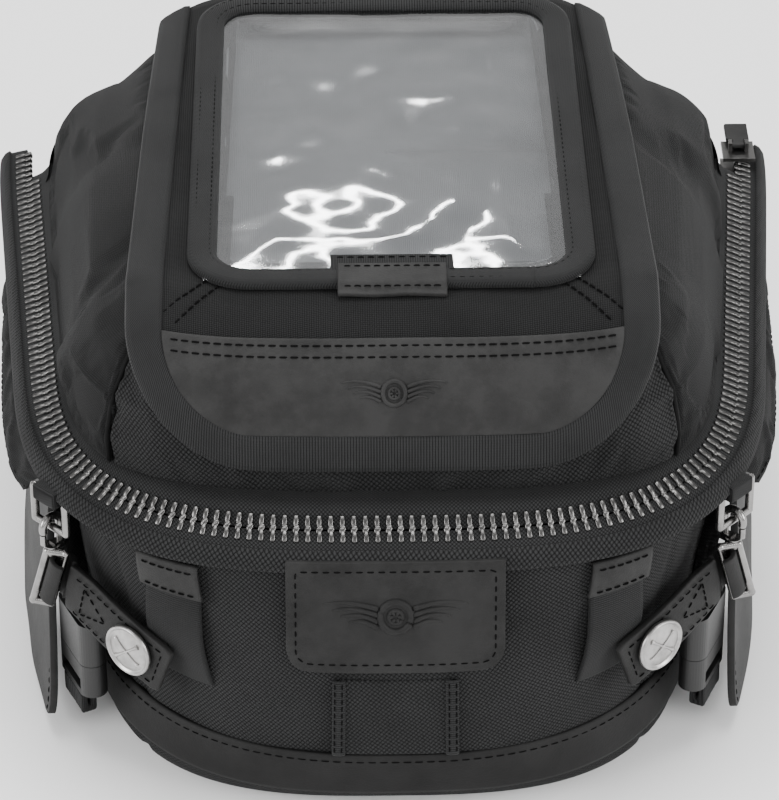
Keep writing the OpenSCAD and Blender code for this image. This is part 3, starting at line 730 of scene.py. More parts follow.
def tooth_row(name, first, last, sense, body, node):
    """Interlocking cast teeth: a head, a waist and a foot clamped on the tape's cord."""
    count = 12
    ring = np.linspace(0, 2 * np.pi, count, endpoint=False) + np.pi / count
    sections = [(-1.4, 0.7, 0.7), (-1.2, 0.95, 1.0), (0.2, 0.98, 1.15), (0.5, 0.66, 1.0), (1.0, 0.66, 1.1),
                (1.4, 0.84, 1.3), (3.9, 0.86, 1.35), (4.3, 0.75, 1.1), (4.45, 0.4, 0.6)]
    shape = np.array([[a, w * signed_pow(math.cos(k), 0.45), h * signed_pow(math.sin(k), 0.45)]
                      for a, w, h in sections for k in ring])
    faces = grid_faces(len(sections), count, wrap=True)
    faces += [tuple(reversed(range(count))), tuple(range(len(shape) - count, len(shape)))]
    if sense < 0:
        faces = [tuple(reversed(f)) for f in faces]
    parts = Parts()
    for i in range(int((last - first) / TOOTH_PITCH)):
        s = first + TOOTH_PITCH * (i + (0.25 if sense > 0 else 0.75))
        behind, p, ahead = at_length(ZIP_PATH, np.array([s - 0.5, s, s + 0.5]))
        t = unit(ahead - behind)
        side = np.array([t[1], -t[0], 0.0])
        along = unit(sense * (side - np.array([0, 0, zip_slope(side)])))
        up = unit(np.array([0, 0, 1.0]) - along * along[2])
        parts.add(p + shape[:, :1] * along + shape[:, 1:2] * t + shape[:, 2:] * up, faces)
    finish_piece(parts.build(name, TEETH), body, "dark_nickel", node)


def zip_tape(name, path, flat, steep, material, body, slot, *nodes):
    """A tape along the zip; its section changes from the sides' (flat) to the front's (steep)."""
    out = frames(path)[1]
    k = front_share(out)[:, None]
    rows = []
    for a, b in zip(np.array(flat), np.array(steep)):
        q = a * (1 - k) + b * k
        rows.append(path + out * q[:, :1] + np.array([0, 0, 1.0]) * q[:, 1:])
    sewn_sheet(name, rows, material, 0.8, body, slot, *nodes)


def build_zip():
    path = even(ZIP_PATH, 2.0)
    zip_tape("lower_tape", path,
             [(0.25, -0.5), (1.5, -0.8), (3.5, -1.2), (5.4, -1.7), (6.8, -1.9)],
             [(0.25, -0.8), (1.5, -1.5), (3.5, -2.9), (5.2, -4.1), (6.8, -4.9)],
             TAPE, "bag", "webbing", "zip_tape_lower")
    zip_tape("rim_roll", path,
             [(6.0, -2.1), (6.7, -1.2), (7.6, -1.8), (8.9, -3.9), (9.2, -5.2)],
             [(6.2, -4.9), (7.0, -3.9), (8.4, -4.6), (9.6, -6.2), (10.2, -8.6)],
             BALLISTIC, "bag", "ballistic_fabric")
    zip_tape("upper_tape", at_length(ZIP_PATH, np.arange(20, ZIP_LENGTH - 20, 2.0)),
             [(-8.2, 6.2), (-7.7, 4.6), (-6.6, 3.2), (-5.4, 1.9), (-3.5, 0.9), (-0.25, -0.4)],
             [(-15.5, 6.2), (-14.5, 4.4), (-9.0, 5.0), (-5.2, 4.2), (-3.5, 2.2), (-0.25, -0.2)],
             TAPE, "lid", "webbing", "zip_tape_upper")
    tooth_row("zip_teeth_outer", 3, ZIP_LENGTH - 3, 1, "bag", "zip_teeth_lower")
    tooth_row("zip_teeth_inner", 22, ZIP_LENGTH - 22, -1, "lid", "zip_teeth_upper")
    out = frames(path)[1]
    k = front_share(out)[:, None]
    edge = path + out * (7.4 + 0.6 * k) + np.array([0, 0, 1.0]) * (-2.1 - 1.9 * k)
    seams("lower_tape_stitches", "bag", "webbing", [(edge, out * 0.4 + np.array([0, 0, 0.9]))], radius=0.22)


# ---- lid box ----

def build_lid():
    heights = np.linspace(LID_Z, LID_TOP, 34)

    def wall(name, start, end, count, material, seed, bulge, *nodes):
        pulled = ((start, 1.4, 1.0), (end, 1.4, 1.0))
        points = oval_sheet(LID_ROWS, heights, np.linspace(start, end, count), bulge, 1.3, seed, pulled)
        cloth = thicken(puffed(grid(name, crowned(points), material)), 1.8)
        finish_piece(cloth, "lid", "ballistic_fabric", *nodes, padded=0.3)

    wall("lid_front_cloth", -90 - SEAM_T, -90 + SEAM_T, 121, BALLISTIC, 1.7, 0.6, "lid_walls")
    wall("lid_side_cloth_right", -90 + SEAM_T, 90, 181, RIBBED, 4.2, 1.6)
    wall("lid_side_cloth_left", 90, 270 - SEAM_T, 181, RIBBED, 4.2, 1.6)
    for side, name in ((-1, "left"), (1, "right")):
        path = np.array([oval(row_at(LID_ROWS, z), -90 + side * SEAM_T, z, 0.15)
                         for z in np.linspace(LID_Z + 0.5, LID_TOP - 1.5, 40)])
        cord = Parts()
        cord.add(*tube(path, 0.9, 8))
        finish_piece(cord.build("lid_seam_cord_" + name, BINDING), "lid", "webbing")


# ---- flap ----

PROFILE = smooth(np.array([
    [0, -139.5, FLAP_Z], [0, -60, FLAP_Z], [0, 30, FLAP_Z], [0, 44, FLAP_Z], [0, 52, FLAP_Z - 0.6],
    [0, 60, FLAP_Z - 2.6], [0, 68, FLAP_Z - 7], [0, 75, FLAP_Z - 15], [0, 80.5, FLAP_Z - 27.5],
    [0, 83.5, FLAP_Z - 38], [0, 83.9, FLAP_Z - 39.7]]), 0.5)
PROFILE_RUN = running(PROFILE)
FLAP_LENGTH = PROFILE_RUN[-1]


def crowned(points):
    """The soft top with its rear corners sunk and drawn forward."""
    points = np.array(points, float)
    side = np.clip((np.abs(points[..., 0]) - 52) / 28, 0, 1.3) ** 1.5
    back = np.clip((points[..., 1] - 10) / 100, 0, 1.1) ** 1.5
    sink = 11 * side * back * np.clip((points[..., 2] - 118) / 38, 0, 1)
    points[..., 2] -= sink
    points[..., 1] -= 0.6 * sink
    return points


SQUARENESS, ROUND_HALF = 3.7, 100  # of the oval that the flap's front follows
TAPER, TAPER_FROM = 0.06, 62  # how much narrower the flap is at its rear, and where that starts


def flap_point(x, s, h):
    """x across, s back from the front tip, h above the flap's underside."""
    def at(run):
        return np.stack([np.interp(run, PROFILE_RUN, PROFILE[:, k]) for k in (1, 2)], -1)

    x, s = np.broadcast_arrays(np.asarray(x, float), np.asarray(s, float))
    p = at(FLAP_LENGTH - s)
    t = unit(at(np.minimum(FLAP_LENGTH - s + 3, FLAP_LENGTH)) - at(FLAP_LENGTH - s - 3))
    reach = p[..., 0] - t[..., 1] * h
    share = np.clip((reach - 40) / 16, 0, 1)
    round_off = 1 - (1 - np.clip(np.abs(x) / ROUND_HALF, 0, 1) ** SQUARENESS) ** (1 / SQUARENESS)
    narrow = 1 - TAPER * np.clip(s - TAPER_FROM, 0, None) / (FLAP_LENGTH - TAPER_FROM)
    y = CENTRE_Y - reach * (1 - share * round_off)
    return crowned(np.stack([x * narrow, y, p[..., 1] + t[..., 0] * h], -1))


def flap_line(x, s, h):
    """A path over the flap and its normals."""
    return flap_point(x, s, h), flap_point(x, s, 1.0) - flap_point(x, s, 0.0)


def flap_width(s, d=0.0):
    r = FLAP_CORNER - d
    e = np.clip(r - np.clip(s - d, 0, None), 0, None)
    return FLAP_HALF - FLAP_CORNER + np.sqrt(np.clip(r * r - e * e, 0, None))


def flap_u(d):
    """The flap's edge set in by d: (x, s) from the rear left round the front to the rear right."""
    r, c = FLAP_CORNER - d, FLAP_HALF - FLAP_CORNER
    arc = np.radians(np.linspace(0, 90, 19))
    left = [[-FLAP_HALF + d, s] for s in (FLAP_LENGTH, FLAP_CORNER + 1)]
    left += [[-c - r * math.cos(a), FLAP_CORNER - r * math.sin(a)] for a in arc]
    return even(np.array(left + [[-x, s] for x, s in reversed(left)]), 1.5)


HOLE_HALF, HOLE_FRONT, HOLE_REAR = 50, -60, 98


def without_window(cloth):
    """Cuts the opening over the phone pocket out of the flap's cloth."""
    bm = bmesh.new()
    bm.from_mesh(cloth.data)
    middles = [(f, f.calc_center_median() / MM) for f in bm.faces]
    hole = [f for f, c in middles
            if abs(c.x) < HOLE_HALF and HOLE_FRONT < c.y < HOLE_REAR and c.z > FLAP_Z]
    bmesh.ops.delete(bm, geom=hole, context="FACES")
    bm.to_mesh(cloth.data)
    bm.free()
    return cloth


def build_flap():
    across = np.linspace(-1, 1, 65)
    rows = []
    for s in np.concatenate([np.linspace(0.3, 60, 50), np.linspace(64, FLAP_LENGTH, 46)]):
        x = across * (flap_width(s) - 0.6)
        edge = np.sin(np.pi * np.clip((np.abs(across) - 0.78) / 0.22, 0, 1))
        puff = 0.5 * edge + crumple(flap_point(x, s, FLAP_T), 0.5, 26, 7)
        rows.append(flap_point(x, s, FLAP_T + puff * min(s / 20, 1)))
    cloth = thicken(without_window(grid("flap_cloth", rows, PLAIN)), 1.8)
    finish_piece(cloth, "flap", "ballistic_fabric", "flap_panel", padded=0.3)

    rows = []
    for d, h in ((0.2, 1.2), (-0.5, 2.3), (0.0, 3.4), (1.5, 3.8), (5, 3.75), (8.6, 3.5), (9.8, 3.0),
                 (10.0, 2.2)):
        u = flap_u(max(d, 0.0))
        u = at_length(u, np.linspace(0, running(u)[-1], 420))
        rows.append(flap_point(u[:, 0] * (1.006 if d < 0 else 1.0), u[:, 1], h))
    sewn_sheet("flap_binding_webbing", rows, BINDING, 0.5, "flap", "webbing", "flap_binding", offset=1.0)
    parts = Parts()
    u = flap_u(8.3)
    stitches(parts, *flap_line(u[:, 0], u[:, 1], 3.6), pitch=3.0, length=2.1, radius=0.26)
    k = np.linspace(0, 1, 30)
    for side in (-1, 1):
        for shift in (0, 4.2):
            line = flap_line(side * (52 + 0.9 * shift + 14 * k), 59 + 0.7 * shift - 18 * k, FLAP_T + 0.5)
            stitches(parts, *line, pitch=2.8, length=2.0, radius=0.32)
    finish_piece(parts.build("flap_stitches", THREAD), "flap", "webbing")

    top, leather_h = 38.3, 3.5
    rows = []
    for s in np.concatenate([np.linspace(BINDING_W + 0.2, 20, 16), np.linspace(21, top, 22)]):
        x = across * (flap_width(s, BINDING_W) - 0.2)
        rows.append(flap_point(x, s, leather_h + crumple(flap_point(x, s, leather_h), 0.35, 20, 9)))
    sewn_sheet("flap_leather_panel", rows, LEATHER, 1.4, "flap", "leather", "flap_leather", bevel=0.4)
    lines = [flap_line(np.linspace(-67.5, 67.5, 80), s, 3.6) for s in (top - 2.2, top - 5.4)]
    seams("flap_leather_stitches", "flap", "leather", lines, 3.3, 2.2, 0.34)
    emblem("flap_emblem", "flap", LEATHER, lambda x, z: flap_point(x, 23 + z, leather_h), 9.5)


# ---- window ----

WIN_LOW, WIN_HIGH = box_mm("window_binding")
WIN_HALF = WIN_HIGH[0]
WIN_Z = WIN_LOW[2]


def window_loop(d):
    """The window frame's outline set in by d, closed, as x and y."""
    corner = 19
    loop = rounded_loop(WIN_HALF, WIN_LOW[1], WIN_HIGH[1], corner, d, max(corner - d, 1.0), 2.0)
    return at_length(loop, np.linspace(0, running(loop)[-1], 361))


def build_window():
    rows = []
    for d, h in ((0.0, 0.2), (-0.3, 1.0), (0.1, 2.1), (1.2, 2.7), (4, 2.8), (6.8, 2.6), (7.8, 2.1),
                 (8.1, 1.2), (7.9, 0.3)):
        loop = window_loop(max(d, 0.0)) * np.array([1.004 if d < 0 else 1.0, 1.0])
        flat = np.column_stack([loop, np.zeros(len(loop))])
        rows.append(flat + np.outer(WIN_Z - 0.4 + h + crumple(flat, 0.35, 40, 2), (0, 0, 1)))
    sewn_sheet("window_frame_webbing", rows, BINDING, 0.4, "window", "webbing", "window_binding", offset=1.0)
    lines = []
    for d in (1.7, 6.3):
        loop = window_loop(d)
        lines.append((even(np.column_stack([loop, np.full(len(loop), WIN_Z + 2.42)]), 1.5), (0, 0, 1.0)))
    seams("window_stitches", "window", "webbing", lines, 2.9, 2.0)

    inset = 4.5
    half, y0, y1 = WIN_HALF - inset, WIN_LOW[1] + inset, WIN_HIGH[1] - inset
    gx, gy = np.meshgrid(np.linspace(-half, half, 90), np.linspace(y0, y1, 130))
    flat = np.stack([gx, gy, gx * 0], -1)
    edge = np.minimum(np.minimum(half - np.abs(gx), gy - y0), y1 - gy)
    inside = np.clip(edge / 22, 0, 1) ** 1.2
    ripple = crumple(flat * np.array([1.0, 0.32, 1.0]), 1.0, 17, 11) + 0.35 * crumple(flat, 1.0, 15, 17)
    over_phone = np.exp(-((np.abs(gx) / 34) ** 6)) * np.exp(-(((gy - 32) / 70) ** 6))
    flat[..., 2] = WIN_Z + 0.3 + inside * (1.1 + 1.3 * ripple + 1.2 * over_phone)
    sewn_sheet("window_clear_sheet", flat, VINYL, 0.4, "window", "clear_vinyl", "window_vinyl", offset=0.0)


def build_window_tab():
    """Leather pull folded over the middle of the window's front edge, in two layers."""
    front = box_mm("window_tab")[0][1]

    def droop(y):
        return np.clip((front + 3.2 - y) / 3.2, 0, 1) ** 2 * 2.6

    for name, y0, y1, rise, width, material, *nodes in (
            ("window_pull_top", front + 9, front + 18.5, 2.5, 18.8, WEBBING),
            ("window_pull_front", front - 1.0, front + 12.5, 3.1, 16.6, LEATHER, "window_tab")):
        gx, gk = np.meshgrid(np.linspace(-width, width, 41), np.linspace(0, 1, 19))
        y = y0 + (y1 - y0) * gk
        z = WIN_Z + rise - droop(y) + 0.25 * np.sin(gx * 0.3) * (1 - gk)
        sewn_sheet(name, np.stack([gx, y, z], -1), material, 1.5, "window", "leather", *nodes, bevel=0.4)
        x = np.linspace(-width + 1.5, width - 1.5, 40)
        lines = []
        for y in (y0 + 2.0, y1 - 2.0):
            height = WIN_Z + rise - droop(y) + 0.1
            lines.append((np.column_stack([x, np.full(len(x), y), np.full(len(x), height)]), (0, 0, 1.0)))
        seams(name + "_stitches", "window", "leather", lines, 3.0, 1.9)


# ---- side wings, flaps and pads ----

MIRROR = np.array([-1.0, 1.0, 1.0])
SIDES = ((1.0, "left"), (-1.0, "right"))


def sided(points, sense):
    """A left-hand part's points, mirrored for the right when sense is -1."""
    return np.asarray(points) * (np.ones(3) if sense > 0 else MIRROR)


def sided_rows(rows, sense):
    """A left-hand sheet's rows; on the right they are mirrored and in reverse, so that it faces out."""
    return sided(rows, sense)[::1 if sense > 0 else -1]


def two_edges(first, second, step):
    """Smooth curves through two lists of points, the second with as many points as the first."""
    first, second = smooth(first, step), smooth(second, step)
    return first, at_length(second, np.linspace(0, running(second)[-1], len(first)))


WING_ROWS = np.array([
    [[-101.5, -81, 96.4], [-116.5, -63, 76]],
    [[-107, -75, 96.2], [-120, -56, 78]],
    [[-114.5, -55, 96], [-123.3, -42, 80.5]],
    [[-118, -30, 96], [-125.4, -22, 82.5]],
    [[-120.6, 10, 96], [-127, 14, 84.5]],
    [[-125, 60, 96], [-127.8, 60, 85]],
    [[-126, 88, 96], [-127, 90, 86]],
    [[-123, 106, 96], [-124, 106, 87]]], float)


def build_wings():
    inner, outer = two_edges(WING_ROWS[:, 0], WING_ROWS[:, 1], 2.0)
    for sense, name in SIDES:
        rows = []
        for k in np.linspace(0, 1, 16):
            p = inner * (1 - k) + outer * k
            swell = math.sin(math.pi * k)
            dents = crumple(p, 1.0, 22, 6 + sense)[:, None] * (0.3 + swell)
            rows.append(p + np.array([-1.0, -0.3, 0.9]) * (1.6 * swell) + np.array([-0.7, 0, 0.5]) * dents)
        wing = puffed(grid("wing_cloth_" + name, sided_rows(rows, sense), PLAIN), reach=1.0)
        thicken(wing, 1.8)
        finish_piece(wing, "bag", "ballistic_fabric", "wing_" + name, padded=0.3)
        edge = even(sided(inner * 0.1 + outer * 0.9 + np.array([-0.5, 0, 0.3]), sense), 2.0)
        seams("wing_stitches_" + name, "bag", "webbing", [(edge, (-0.8 * sense, 0, 0.6))], radius=0.22)


# height, front x and y, rear x and y
SIDE_FLAP_ROWS = np.array([
    [77.5, -108.5, -74, -113.5, -14], [66, -109, -77, -116.5, -14], [50, -108.6, -81, -119, -15],
    [33, -108.6, -85.5, -120.5, -17], [16, -109.5, -90, -121, -22], [8, -110.5, -90, -121, -28],
    [5, -112, -84, -119.5, -38]], float)


def build_side_flaps():
    front, rear = two_edges(SIDE_FLAP_ROWS[:, [1, 2, 0]], SIDE_FLAP_ROWS[:, [3, 4, 0]], 1.5)
    for sense, name in SIDES:
        columns = []
        for k in np.linspace(0, 1, 40):
            p = front * (1 - k) + rear * k
            lift = crumple(p, 1.3, 30, 14 + 3 * sense)[:, None] * 0.6
            columns.append(p + np.array([1.0, 0, 0]) * (lift - 0.8 * math.sin(math.pi * k)))
        sewn_sheet("side_flap_leather_" + name, sided_rows(columns, sense), LEATHER, 2.4, "side_" + name,
                   "leather", "side_flap_" + name, offset=1.0, bevel=0.5)
        line = sided(even((front + np.array([-0.15, 2.8, 0]))[3:-4], 1.5), sense)
        seams("side_flap_stitches_" + name, "side_" + name, "leather", [(line, (-sense, -0.2, 0))],
              3.3, 2.2, 0.34)


# y and depth along the pad, then height and share of that depth
PAD_STATIONS = np.array([[-50, 0.4], [-47, 4], [-40, 6.4], [-20, 7.8], [20, 8.3], [60, 7.8], [76, 5.6],
                         [82, 3.2], [84, 0.4]])
PAD_SHARES = ((8, 0.04), (9, 0.4), (12, 0.75), (18, 0.95), (28, 1), (38, 1.04), (48, 1), (56, 0.86),
              (61, 0.62), (64.5, 0.3), (66, 0.04))


def side_wall(y, z, out):
    half, widening, front, rear, n = row_at(TUB_ROWS, z)
    reach, n = (front, n) if y < CENTRE_Y else (rear, REAR_N)
    share = (1 - abs((y - CENTRE_Y) / reach) ** n) ** (1 / n)
    return np.array([-(half + widening * (y - CENTRE_Y)) * share - out, y, z])


def build_side_pads():
    y = np.linspace(-50, 84, 68)
    depth = np.interp(y, PAD_STATIONS[:, 0], PAD_STATIONS[:, 1])
    for sense, name in SIDES:
        rows = []
        for z, share in PAD_SHARES:
            line = np.array([side_wall(place, z, 0.4 + out) for place, out in zip(y, depth * share)])
            line[:, 0] -= crumple(line, 0.9, 20, 21 + sense) * share
            rows.append(line[::-1])
        pad = puffed(grid("side_pad_cloth_" + name, sided_rows(rows, sense), BALLISTIC))
        pad.modifiers.new("soften", "SUBSURF").levels = 1
        finish_piece(pad, "bag", "ballistic_fabric", "side_pad_" + name, padded=0.6)


# ---- straps, keepers and hardware ----

STRAP_PATH = np.array([[-101.4, -94.6, 61.4], [-96, -100.4, 60], [-88, -108.6, 56.5], [-79.5, -116, 52.5],
                       [-70.5, -122.6, 48.5]])
PIVOT = np.array([-104.5, -92, 62.5])
LEAN = np.array([0.24, -0.2, 0.95])
TIP_LEAN = np.array([0.28, -0.22, 0.93])
SNAP = np.array([-80.6, -115.1, 53.0])


def build_straps():
    path = smooth(STRAP_PATH)
    t, out, _ = frames(path)
    share = np.linspace(0, 1, len(path))[:, None]
    width = LEAN * (1 - share) + TIP_LEAN * share
    width = unit(width - t * np.sum(width * t, axis=1)[:, None])
    out = np.cross(t, width)
    s = running(path)
    to_tip = s[-1] - s
    half = np.where(to_tip < 3, 9.6 - 1.2 * (1 - to_tip / 3) ** 2, 9.6) * (0.9 + 0.1 * np.clip(s / 10, 0, 1))
    rows = []
    for k in np.linspace(-1, 1, 21):
        curl = 0.9 * k ** 2 * (1 - s / s[-1])
        rows.append(path + width * (half * k)[:, None] + out * (1.2 - curl)[:, None])

    lean = unit(LEAN)
    side_dir = unit(np.cross(LEAN, t[0]))
    fore = unit(np.cross(side_dir, LEAN))
    turn = np.radians(np.linspace(-30, 245, 22)) - 1.9
    fold = [[PIVOT + lean * k + 3.6 * (side_dir * math.sin(a) - fore * math.cos(a)) for a in turn]
            for k in np.linspace(-8.6, 8.6, 15)]

    for sense, name in SIDES:
        body = "strap_" + name
        sewn_sheet("strap_leather_" + name, sided_rows(rows, sense), DARK_LEATHER, 2.3, body, "leather",
                   "leather_strap_" + name, bevel=0.5)
        sewn_sheet("strap_fold_" + name, sided_rows(fold, sense), DARK_LEATHER, 1.6, body, "leather",
                   offset=0.0, bevel=0.3)
        parts = Parts()
        for k in (-1, 1):
            line = path + width * ((half - 2.4) * k)[:, None] + out * 1.3
            line = even(sided(line[4:-3], sense), 1.0)
            stitches(parts, line, sided(out[len(out) // 2], sense), 3.0, 1.9, 0.24)
        end = path[-4] + out[-4] * 1.3 + width[-4] * np.linspace(-6.4, 6.4, 16)[:, None]
        stitches(parts, sided(end, sense), sided(out[-4], sense), 3.0, 1.9, 0.24)
        corners = [path[i] + width[i] * w + out[i] * 1.35 for i, w in ((8, -5.5), (8, 5.5), (19, 0))]
        for k in range(3):
            line = np.linspace(corners[k], corners[(k + 1) % 3], 14)
            stitches(parts, sided(line, sense), sided(out[12], sense), 2.6, 1.8, 0.26)
        finish_piece(parts.build("strap_stitches_" + name, THREAD), body, "leather")


def build_snaps():
    """Domed cap with a rolled rim and a plain crossed-bar relief."""
    turn = math.radians(-39.5)
    out = np.array([math.sin(turn), -math.cos(turn), 0.0])
    side = np.array([math.cos(turn), math.sin(turn), 0.0])
    up = np.array([0, 0, 1.0])
    base = SNAP + out * 1.3

    def cap_point(r, angle, h):
        return base + out * h + side * r * math.cos(angle) + up * r * math.sin(angle)

    profile = [(0.01, 2.3), (2.0, 2.3), (4.2, 2.2), (6.0, 1.95), (7.0, 1.6), (7.4, 1.5), (7.7, 2.1),
               (8.2, 2.3), (8.6, 2.0), (8.75, 1.3), (8.6, 0.6), (8.2, 0.2), (0.01, 0.2)]
    count = 64
    ring = np.linspace(0, 2 * np.pi, count, endpoint=False)
    verts = [cap_point(r, angle, h) for r, h in profile for angle in ring]
    across = np.linspace(-5.8, 5.8, 17)
    for sense, name in SIDES:
        parts = Parts()
        faces = grid_faces(len(profile), count, wrap=True)
        parts.add(sided(verts, sense), faces if sense < 0 else [tuple(reversed(f)) for f in faces])
        for degrees in (38, 142):
            line = np.array([cap_point(r, math.radians(degrees), 2.45 - 0.014 * r * r) for r in across])
            parts.add(*tube(sided(line, sense), 0.42 + 0.5 * (np.abs(across) / 5.8) ** 4, 8))
        cap = parts.build("snap_cap_metal_" + name, CAP)
        finish_piece(cap, "strap_" + name, "nickel", "snap_cap_" + name)


def keeper_point(x, z, out):
    return on_front(TUB_ROWS, x + (88 - z) * 0.12, z, out)


def build_keepers():
    """Webbing that each strap snaps on to, with a leather patch sewn over its top."""
    webbing = [[keeper_point(x, z, 1.7 + 2.6 * math.sin(math.pi * np.clip((80 - z) / 36, 0, 1)))
                for z in np.linspace(84, 44, 42)] for x in np.linspace(-81.5, -64.5, 15)]
    section = ((91.5, 1.6), (91, 2.9), (88, 3.3), (82, 3.4), (79, 3.2), (78.4, 2.2))
    patch = [[keeper_point(x, z, out) for z, out in section] for x in np.linspace(-82.5, -63.5, 21)]
    xs = np.linspace(-81, -65, 24)
    for sense, name in SIDES:
        sewn_sheet("keeper_webbing_" + name, sided_rows(webbing, sense), WEBBING, 1.3, "bag", "webbing",
                   "keeper_" + name)
        sewn_sheet("keeper_patch_" + name, sided_rows(patch, sense), LEATHER, 1.2, "bag", "webbing")
        lines = []
        for z in (89, 80.6):
            line, over = (sided([keeper_point(x, z, out) for x in xs], sense) for out in (3.5, 4.5))
            lines.append((line, over - line))
        seams("keeper_stitches_" + name, "bag", "webbing", lines, 2.8, 1.9, 0.3)


# ---- soft pieces that the CAD shows as plain solids ----

def softened(node, body, slot, material, voxel=0.7, rounds=6, creased=0.25):
    """A cloth or leather copy of a small CAD piece: rounded edges, uneven faces."""
    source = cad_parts[node]
    mesh = source.data.copy()
    mesh.transform(source.matrix_world)
    mesh.materials.clear()
    draft = bpy.data.objects.new("draft", mesh)
    bpy.context.collection.objects.link(draft)
    remesh = draft.modifiers.new("remesh", "REMESH")
    remesh.mode = "VOXEL"
    remesh.voxel_size = voxel * MM
    draft.modifiers.new("relax", "SMOOTH").iterations = rounds
    solid = bpy.data.meshes.new_from_object(draft.evaluated_get(bpy.context.evaluated_depsgraph_get()))
    bpy.data.objects.remove(draft)
    verts = np.array([v.co for v in solid.vertices]) / MM
    verts += np.array([v.normal for v in solid.vertices]) * crumple(verts, creased, 9, 4)[:, None]
    faces = [tuple(f.vertices) for f in solid.polygons]
    uv = np.column_stack([verts[:, 0] + verts[:, 1], verts[:, 2] + 0.3 * verts[:, 1]])
    bpy.data.meshes.remove(solid)
    finish_piece(make_object(node + "_soft", verts, faces, material, uv), body, slot, node)


MIDDLE = 0.0005  # a disc's smallest ring, as a share of its edge


def disc(rows, row_z, inset, z, count):
    """Rings of an oval from its middle out, as rows of points at height z."""
    row = row_at(rows, row_z) - np.array([inset, 0, inset, inset, 0])
    edge = oval(row, np.linspace(90, 450, 181), z)
    centre = np.array([0, edge[:, 1].mean(), z])
    return np.array([centre + (edge - centre) * k for k in np.linspace(MIDDLE, 1, count)])


def build_linings():
    heights = np.concatenate([np.linspace(9, 20, 6), np.linspace(24, RIM_Z - 1, 26)])
    walls = oval_sheet(TUB_ROWS, heights, np.linspace(90, 450, 241), dent=0.5, seed=8.0, inset=WALL + 1.6)
    sewn_sheet("lining_cloth_walls", walls, LINING, 0.7, "bag", "lining", "tub_lining")
    floor = disc(TUB_ROWS, 9, 5.2, box_mm("tub_lining")[0][2], 40)[::-1]
    floor[..., 2] += 0.6 + crumple(floor, 0.35, 24, 5)
    sewn_sheet("lining_cloth_floor", floor, LINING, 0.7, "bag", "lining", uv=floor[..., :2])
    pad = disc(TUB_ROWS, 0, 3.2, 0, 60)
    pad[..., 2] = 0.25 + np.abs(crumple(pad, 0.3, 9, 2))
    sewn_sheet("base_pad_cloth", pad, TAPE, 1.2, "bag", "webbing", "base_pad", uv=pad[..., :2])
    panel = disc(LID_ROWS, LID_Z, 3.0, LID_Z + 1.2, 50)[::-1]
    panel[..., 2] += crumple(panel, 0.5, 28, 3)
    sewn_sheet("lid_floor_cloth", panel, LINING, 1.2, "lid", "lining", "lid_floor", uv=panel[..., :2])


def build_tray():
    """The phone pocket: a cloth-lined well, its floor slightly sagging between its rounded walls."""
    low, high = box_mm("phone_tray")
    centre = (low + high) / 2 * np.array([0, 1, 0])
    size = np.array([high[0], (high[1] - low[1]) / 2])
    angles = np.radians(np.linspace(0, 360, 181))
    edge = np.column_stack([size * signed_pow(np.stack([np.cos(angles), np.sin(angles)], -1), 0.16),
                            np.zeros(len(angles))])
    rings = [(k, low[2] + 0.9) for k in np.linspace(MIDDLE, 0.975, 40)]
    rings += [(0.99, low[2] + 1.6), (0.995, low[2] + 3), (0.992, high[2] - 2), (0.996, high[2] - 0.2)]
    tray = np.array([centre + edge * k + np.array([0, 0, z]) for k, z in rings])[::-1]
    tray[..., 2] += crumple(tray, 0.25, 22, 6)
    sewn_sheet("pocket_lining", tray, LINING, 0.7, "flap", "lining", "phone_tray", uv=tray[..., :2])


def build_strips():
    """Hook strip on the lid's front and loop strip under the flap's front."""
    x = np.linspace(-40, 40, 81)
    rows = []
    for z in np.linspace(119, 129, 14):
        p = on_front(LID_ROWS, x, z, 0.9)
        rows.append(p - np.outer(0.12 + crumple(p, 0.12, 2.2, 5), (0, 1, 0)))
    sewn_sheet("hook_strip", rows, TAPE, 0.6, "lid", "webbing", "lid_hook_strip")
    rows = [flap_point(x, s, -0.7 - 0.2 * np.sin(x * 2.1) ** 2) for s in np.linspace(7, 16, 14)]
    sewn_sheet("loop_strip", rows, TAPE, 0.5, "flap", "webbing", "flap_loop_strip", offset=1.0)


def build_small_soft():
    softened("rear_handle", "handle", "leather", LEATHER, 0.9)
    softened("handle_tabs", "bag", "webbing", WEBBING)
    softened("slider_pull", "pull", "leather", LEATHER, 0.4, 4, 0.1)
    for _, side in SIDES:
        softened("ring_tab_" + side, "bag", "webbing", WEBBING, 0.5, 4, 0.15)
        softened("web_tail_" + side, "buckle_" + side, "webbing", WEBBING, 0.5, 5, 0.2)


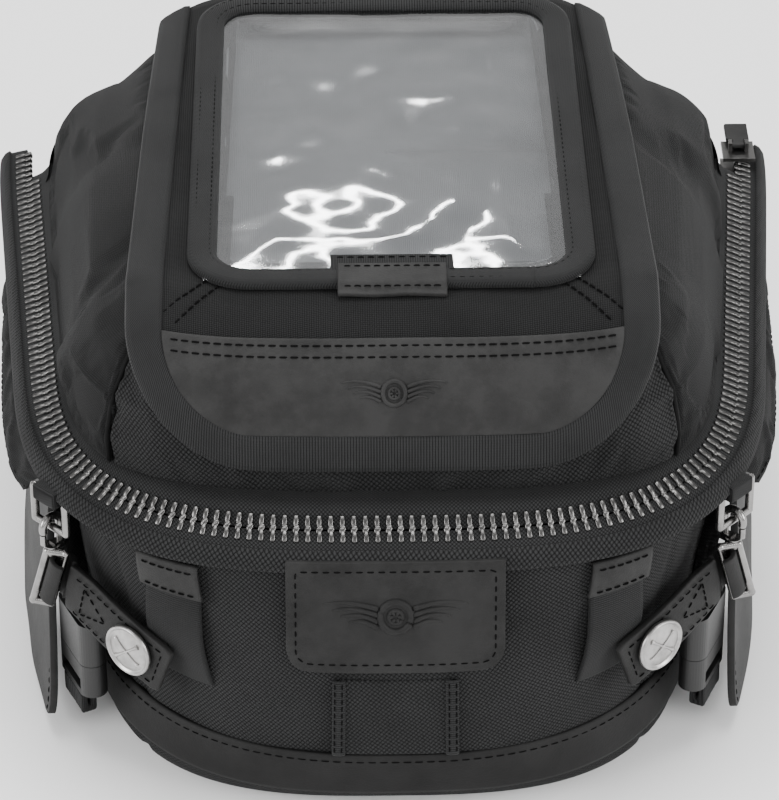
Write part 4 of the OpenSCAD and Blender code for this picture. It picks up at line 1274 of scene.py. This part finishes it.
def build_hinge_cloth():
    """The gusset round the back, from one end of the zip to the other, that the lid turns on."""
    angles = np.linspace(END_T - 1, 181 - END_T, 161)
    rows = []
    for k in np.linspace(0, 1, 14):
        z = RIM_Z - 4 + k * (LID_Z - RIM_Z + 10)
        low = oval(row_at(TUB_ROWS, RIM_Z), angles, z, -0.3)
        high = oval(row_at(LID_ROWS, LID_Z + 3), angles, z, 0.9)
        ease = k * k * (3 - 2 * k)
        flat = low * (1 - ease) + high * ease
        rows.append(flat + np.outer(crumple(flat, 1.0, 14, 2), (0, 0.3, 0)))
    gusset = grid("hinge_gusset", rows, PLAIN)
    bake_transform(gusset)


def build_rear_seams():
    """A taped seam down the middle of the back, on the body and on the lid."""
    section = ((-4.2, 0.4), (-4.0, 1.5), (-1.5, 1.9), (1.5, 1.9), (4.0, 1.5), (4.2, 0.4))
    for name, body, outline, low, high in (("body_rear_seam", "bag", TUB_ROWS, 1.0, RIM_Z - 1),
                                           ("lid_rear_seam", "lid", LID_ROWS, LID_Z + 1, LID_TOP - 3)):
        def down_back(dx, out):
            line = np.array([oval(row_at(outline, z), 90.0, z, out) for z in np.linspace(low, high, 50)])
            return line + np.array([dx, 0, 0])

        rows = [down_back(dx, out) for dx, out in section]
        sewn_sheet(name, rows[::-1], BINDING, 0.6, body, "webbing")
        lines = [(even(down_back(dx, 1.85), 1.0), (0, 1.0, 0)) for dx in (-2.9, 2.9)]
        seams(name + "_stitches", body, "webbing", lines, 3.0, 2.0)


def paint_cad():
    """Materials for the CAD parts that are shown as they are."""
    choice = {TEETH: ["magnets", "snap_studs", "zip_slider"], PLASTIC: ["magnet_foam", "base_board"]}
    choice[NICKEL] = [kind + side for _, side in SIDES
                      for kind in ("d_ring_", "snap_hook_", "hook_gate_", "strap_ring_")]
    choice[PLASTIC] += [kind + side for _, side in SIDES for kind in ("buckle_female_", "buckle_male_")]
    for material, nodes in choice.items():
        for node in nodes:
            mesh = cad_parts[node].data
            mesh.materials.clear()
            mesh.materials.append(material)


for build in (build_tub, build_band, build_patch, build_center_panel, build_zip, build_lid, build_flap,
              build_window, build_window_tab, build_wings, build_side_flaps, build_side_pads, build_straps,
              build_snaps, build_keepers, build_linings, build_tray, build_strips, build_small_soft,
              build_hinge_cloth, build_rear_seams, paint_cad):
    build()
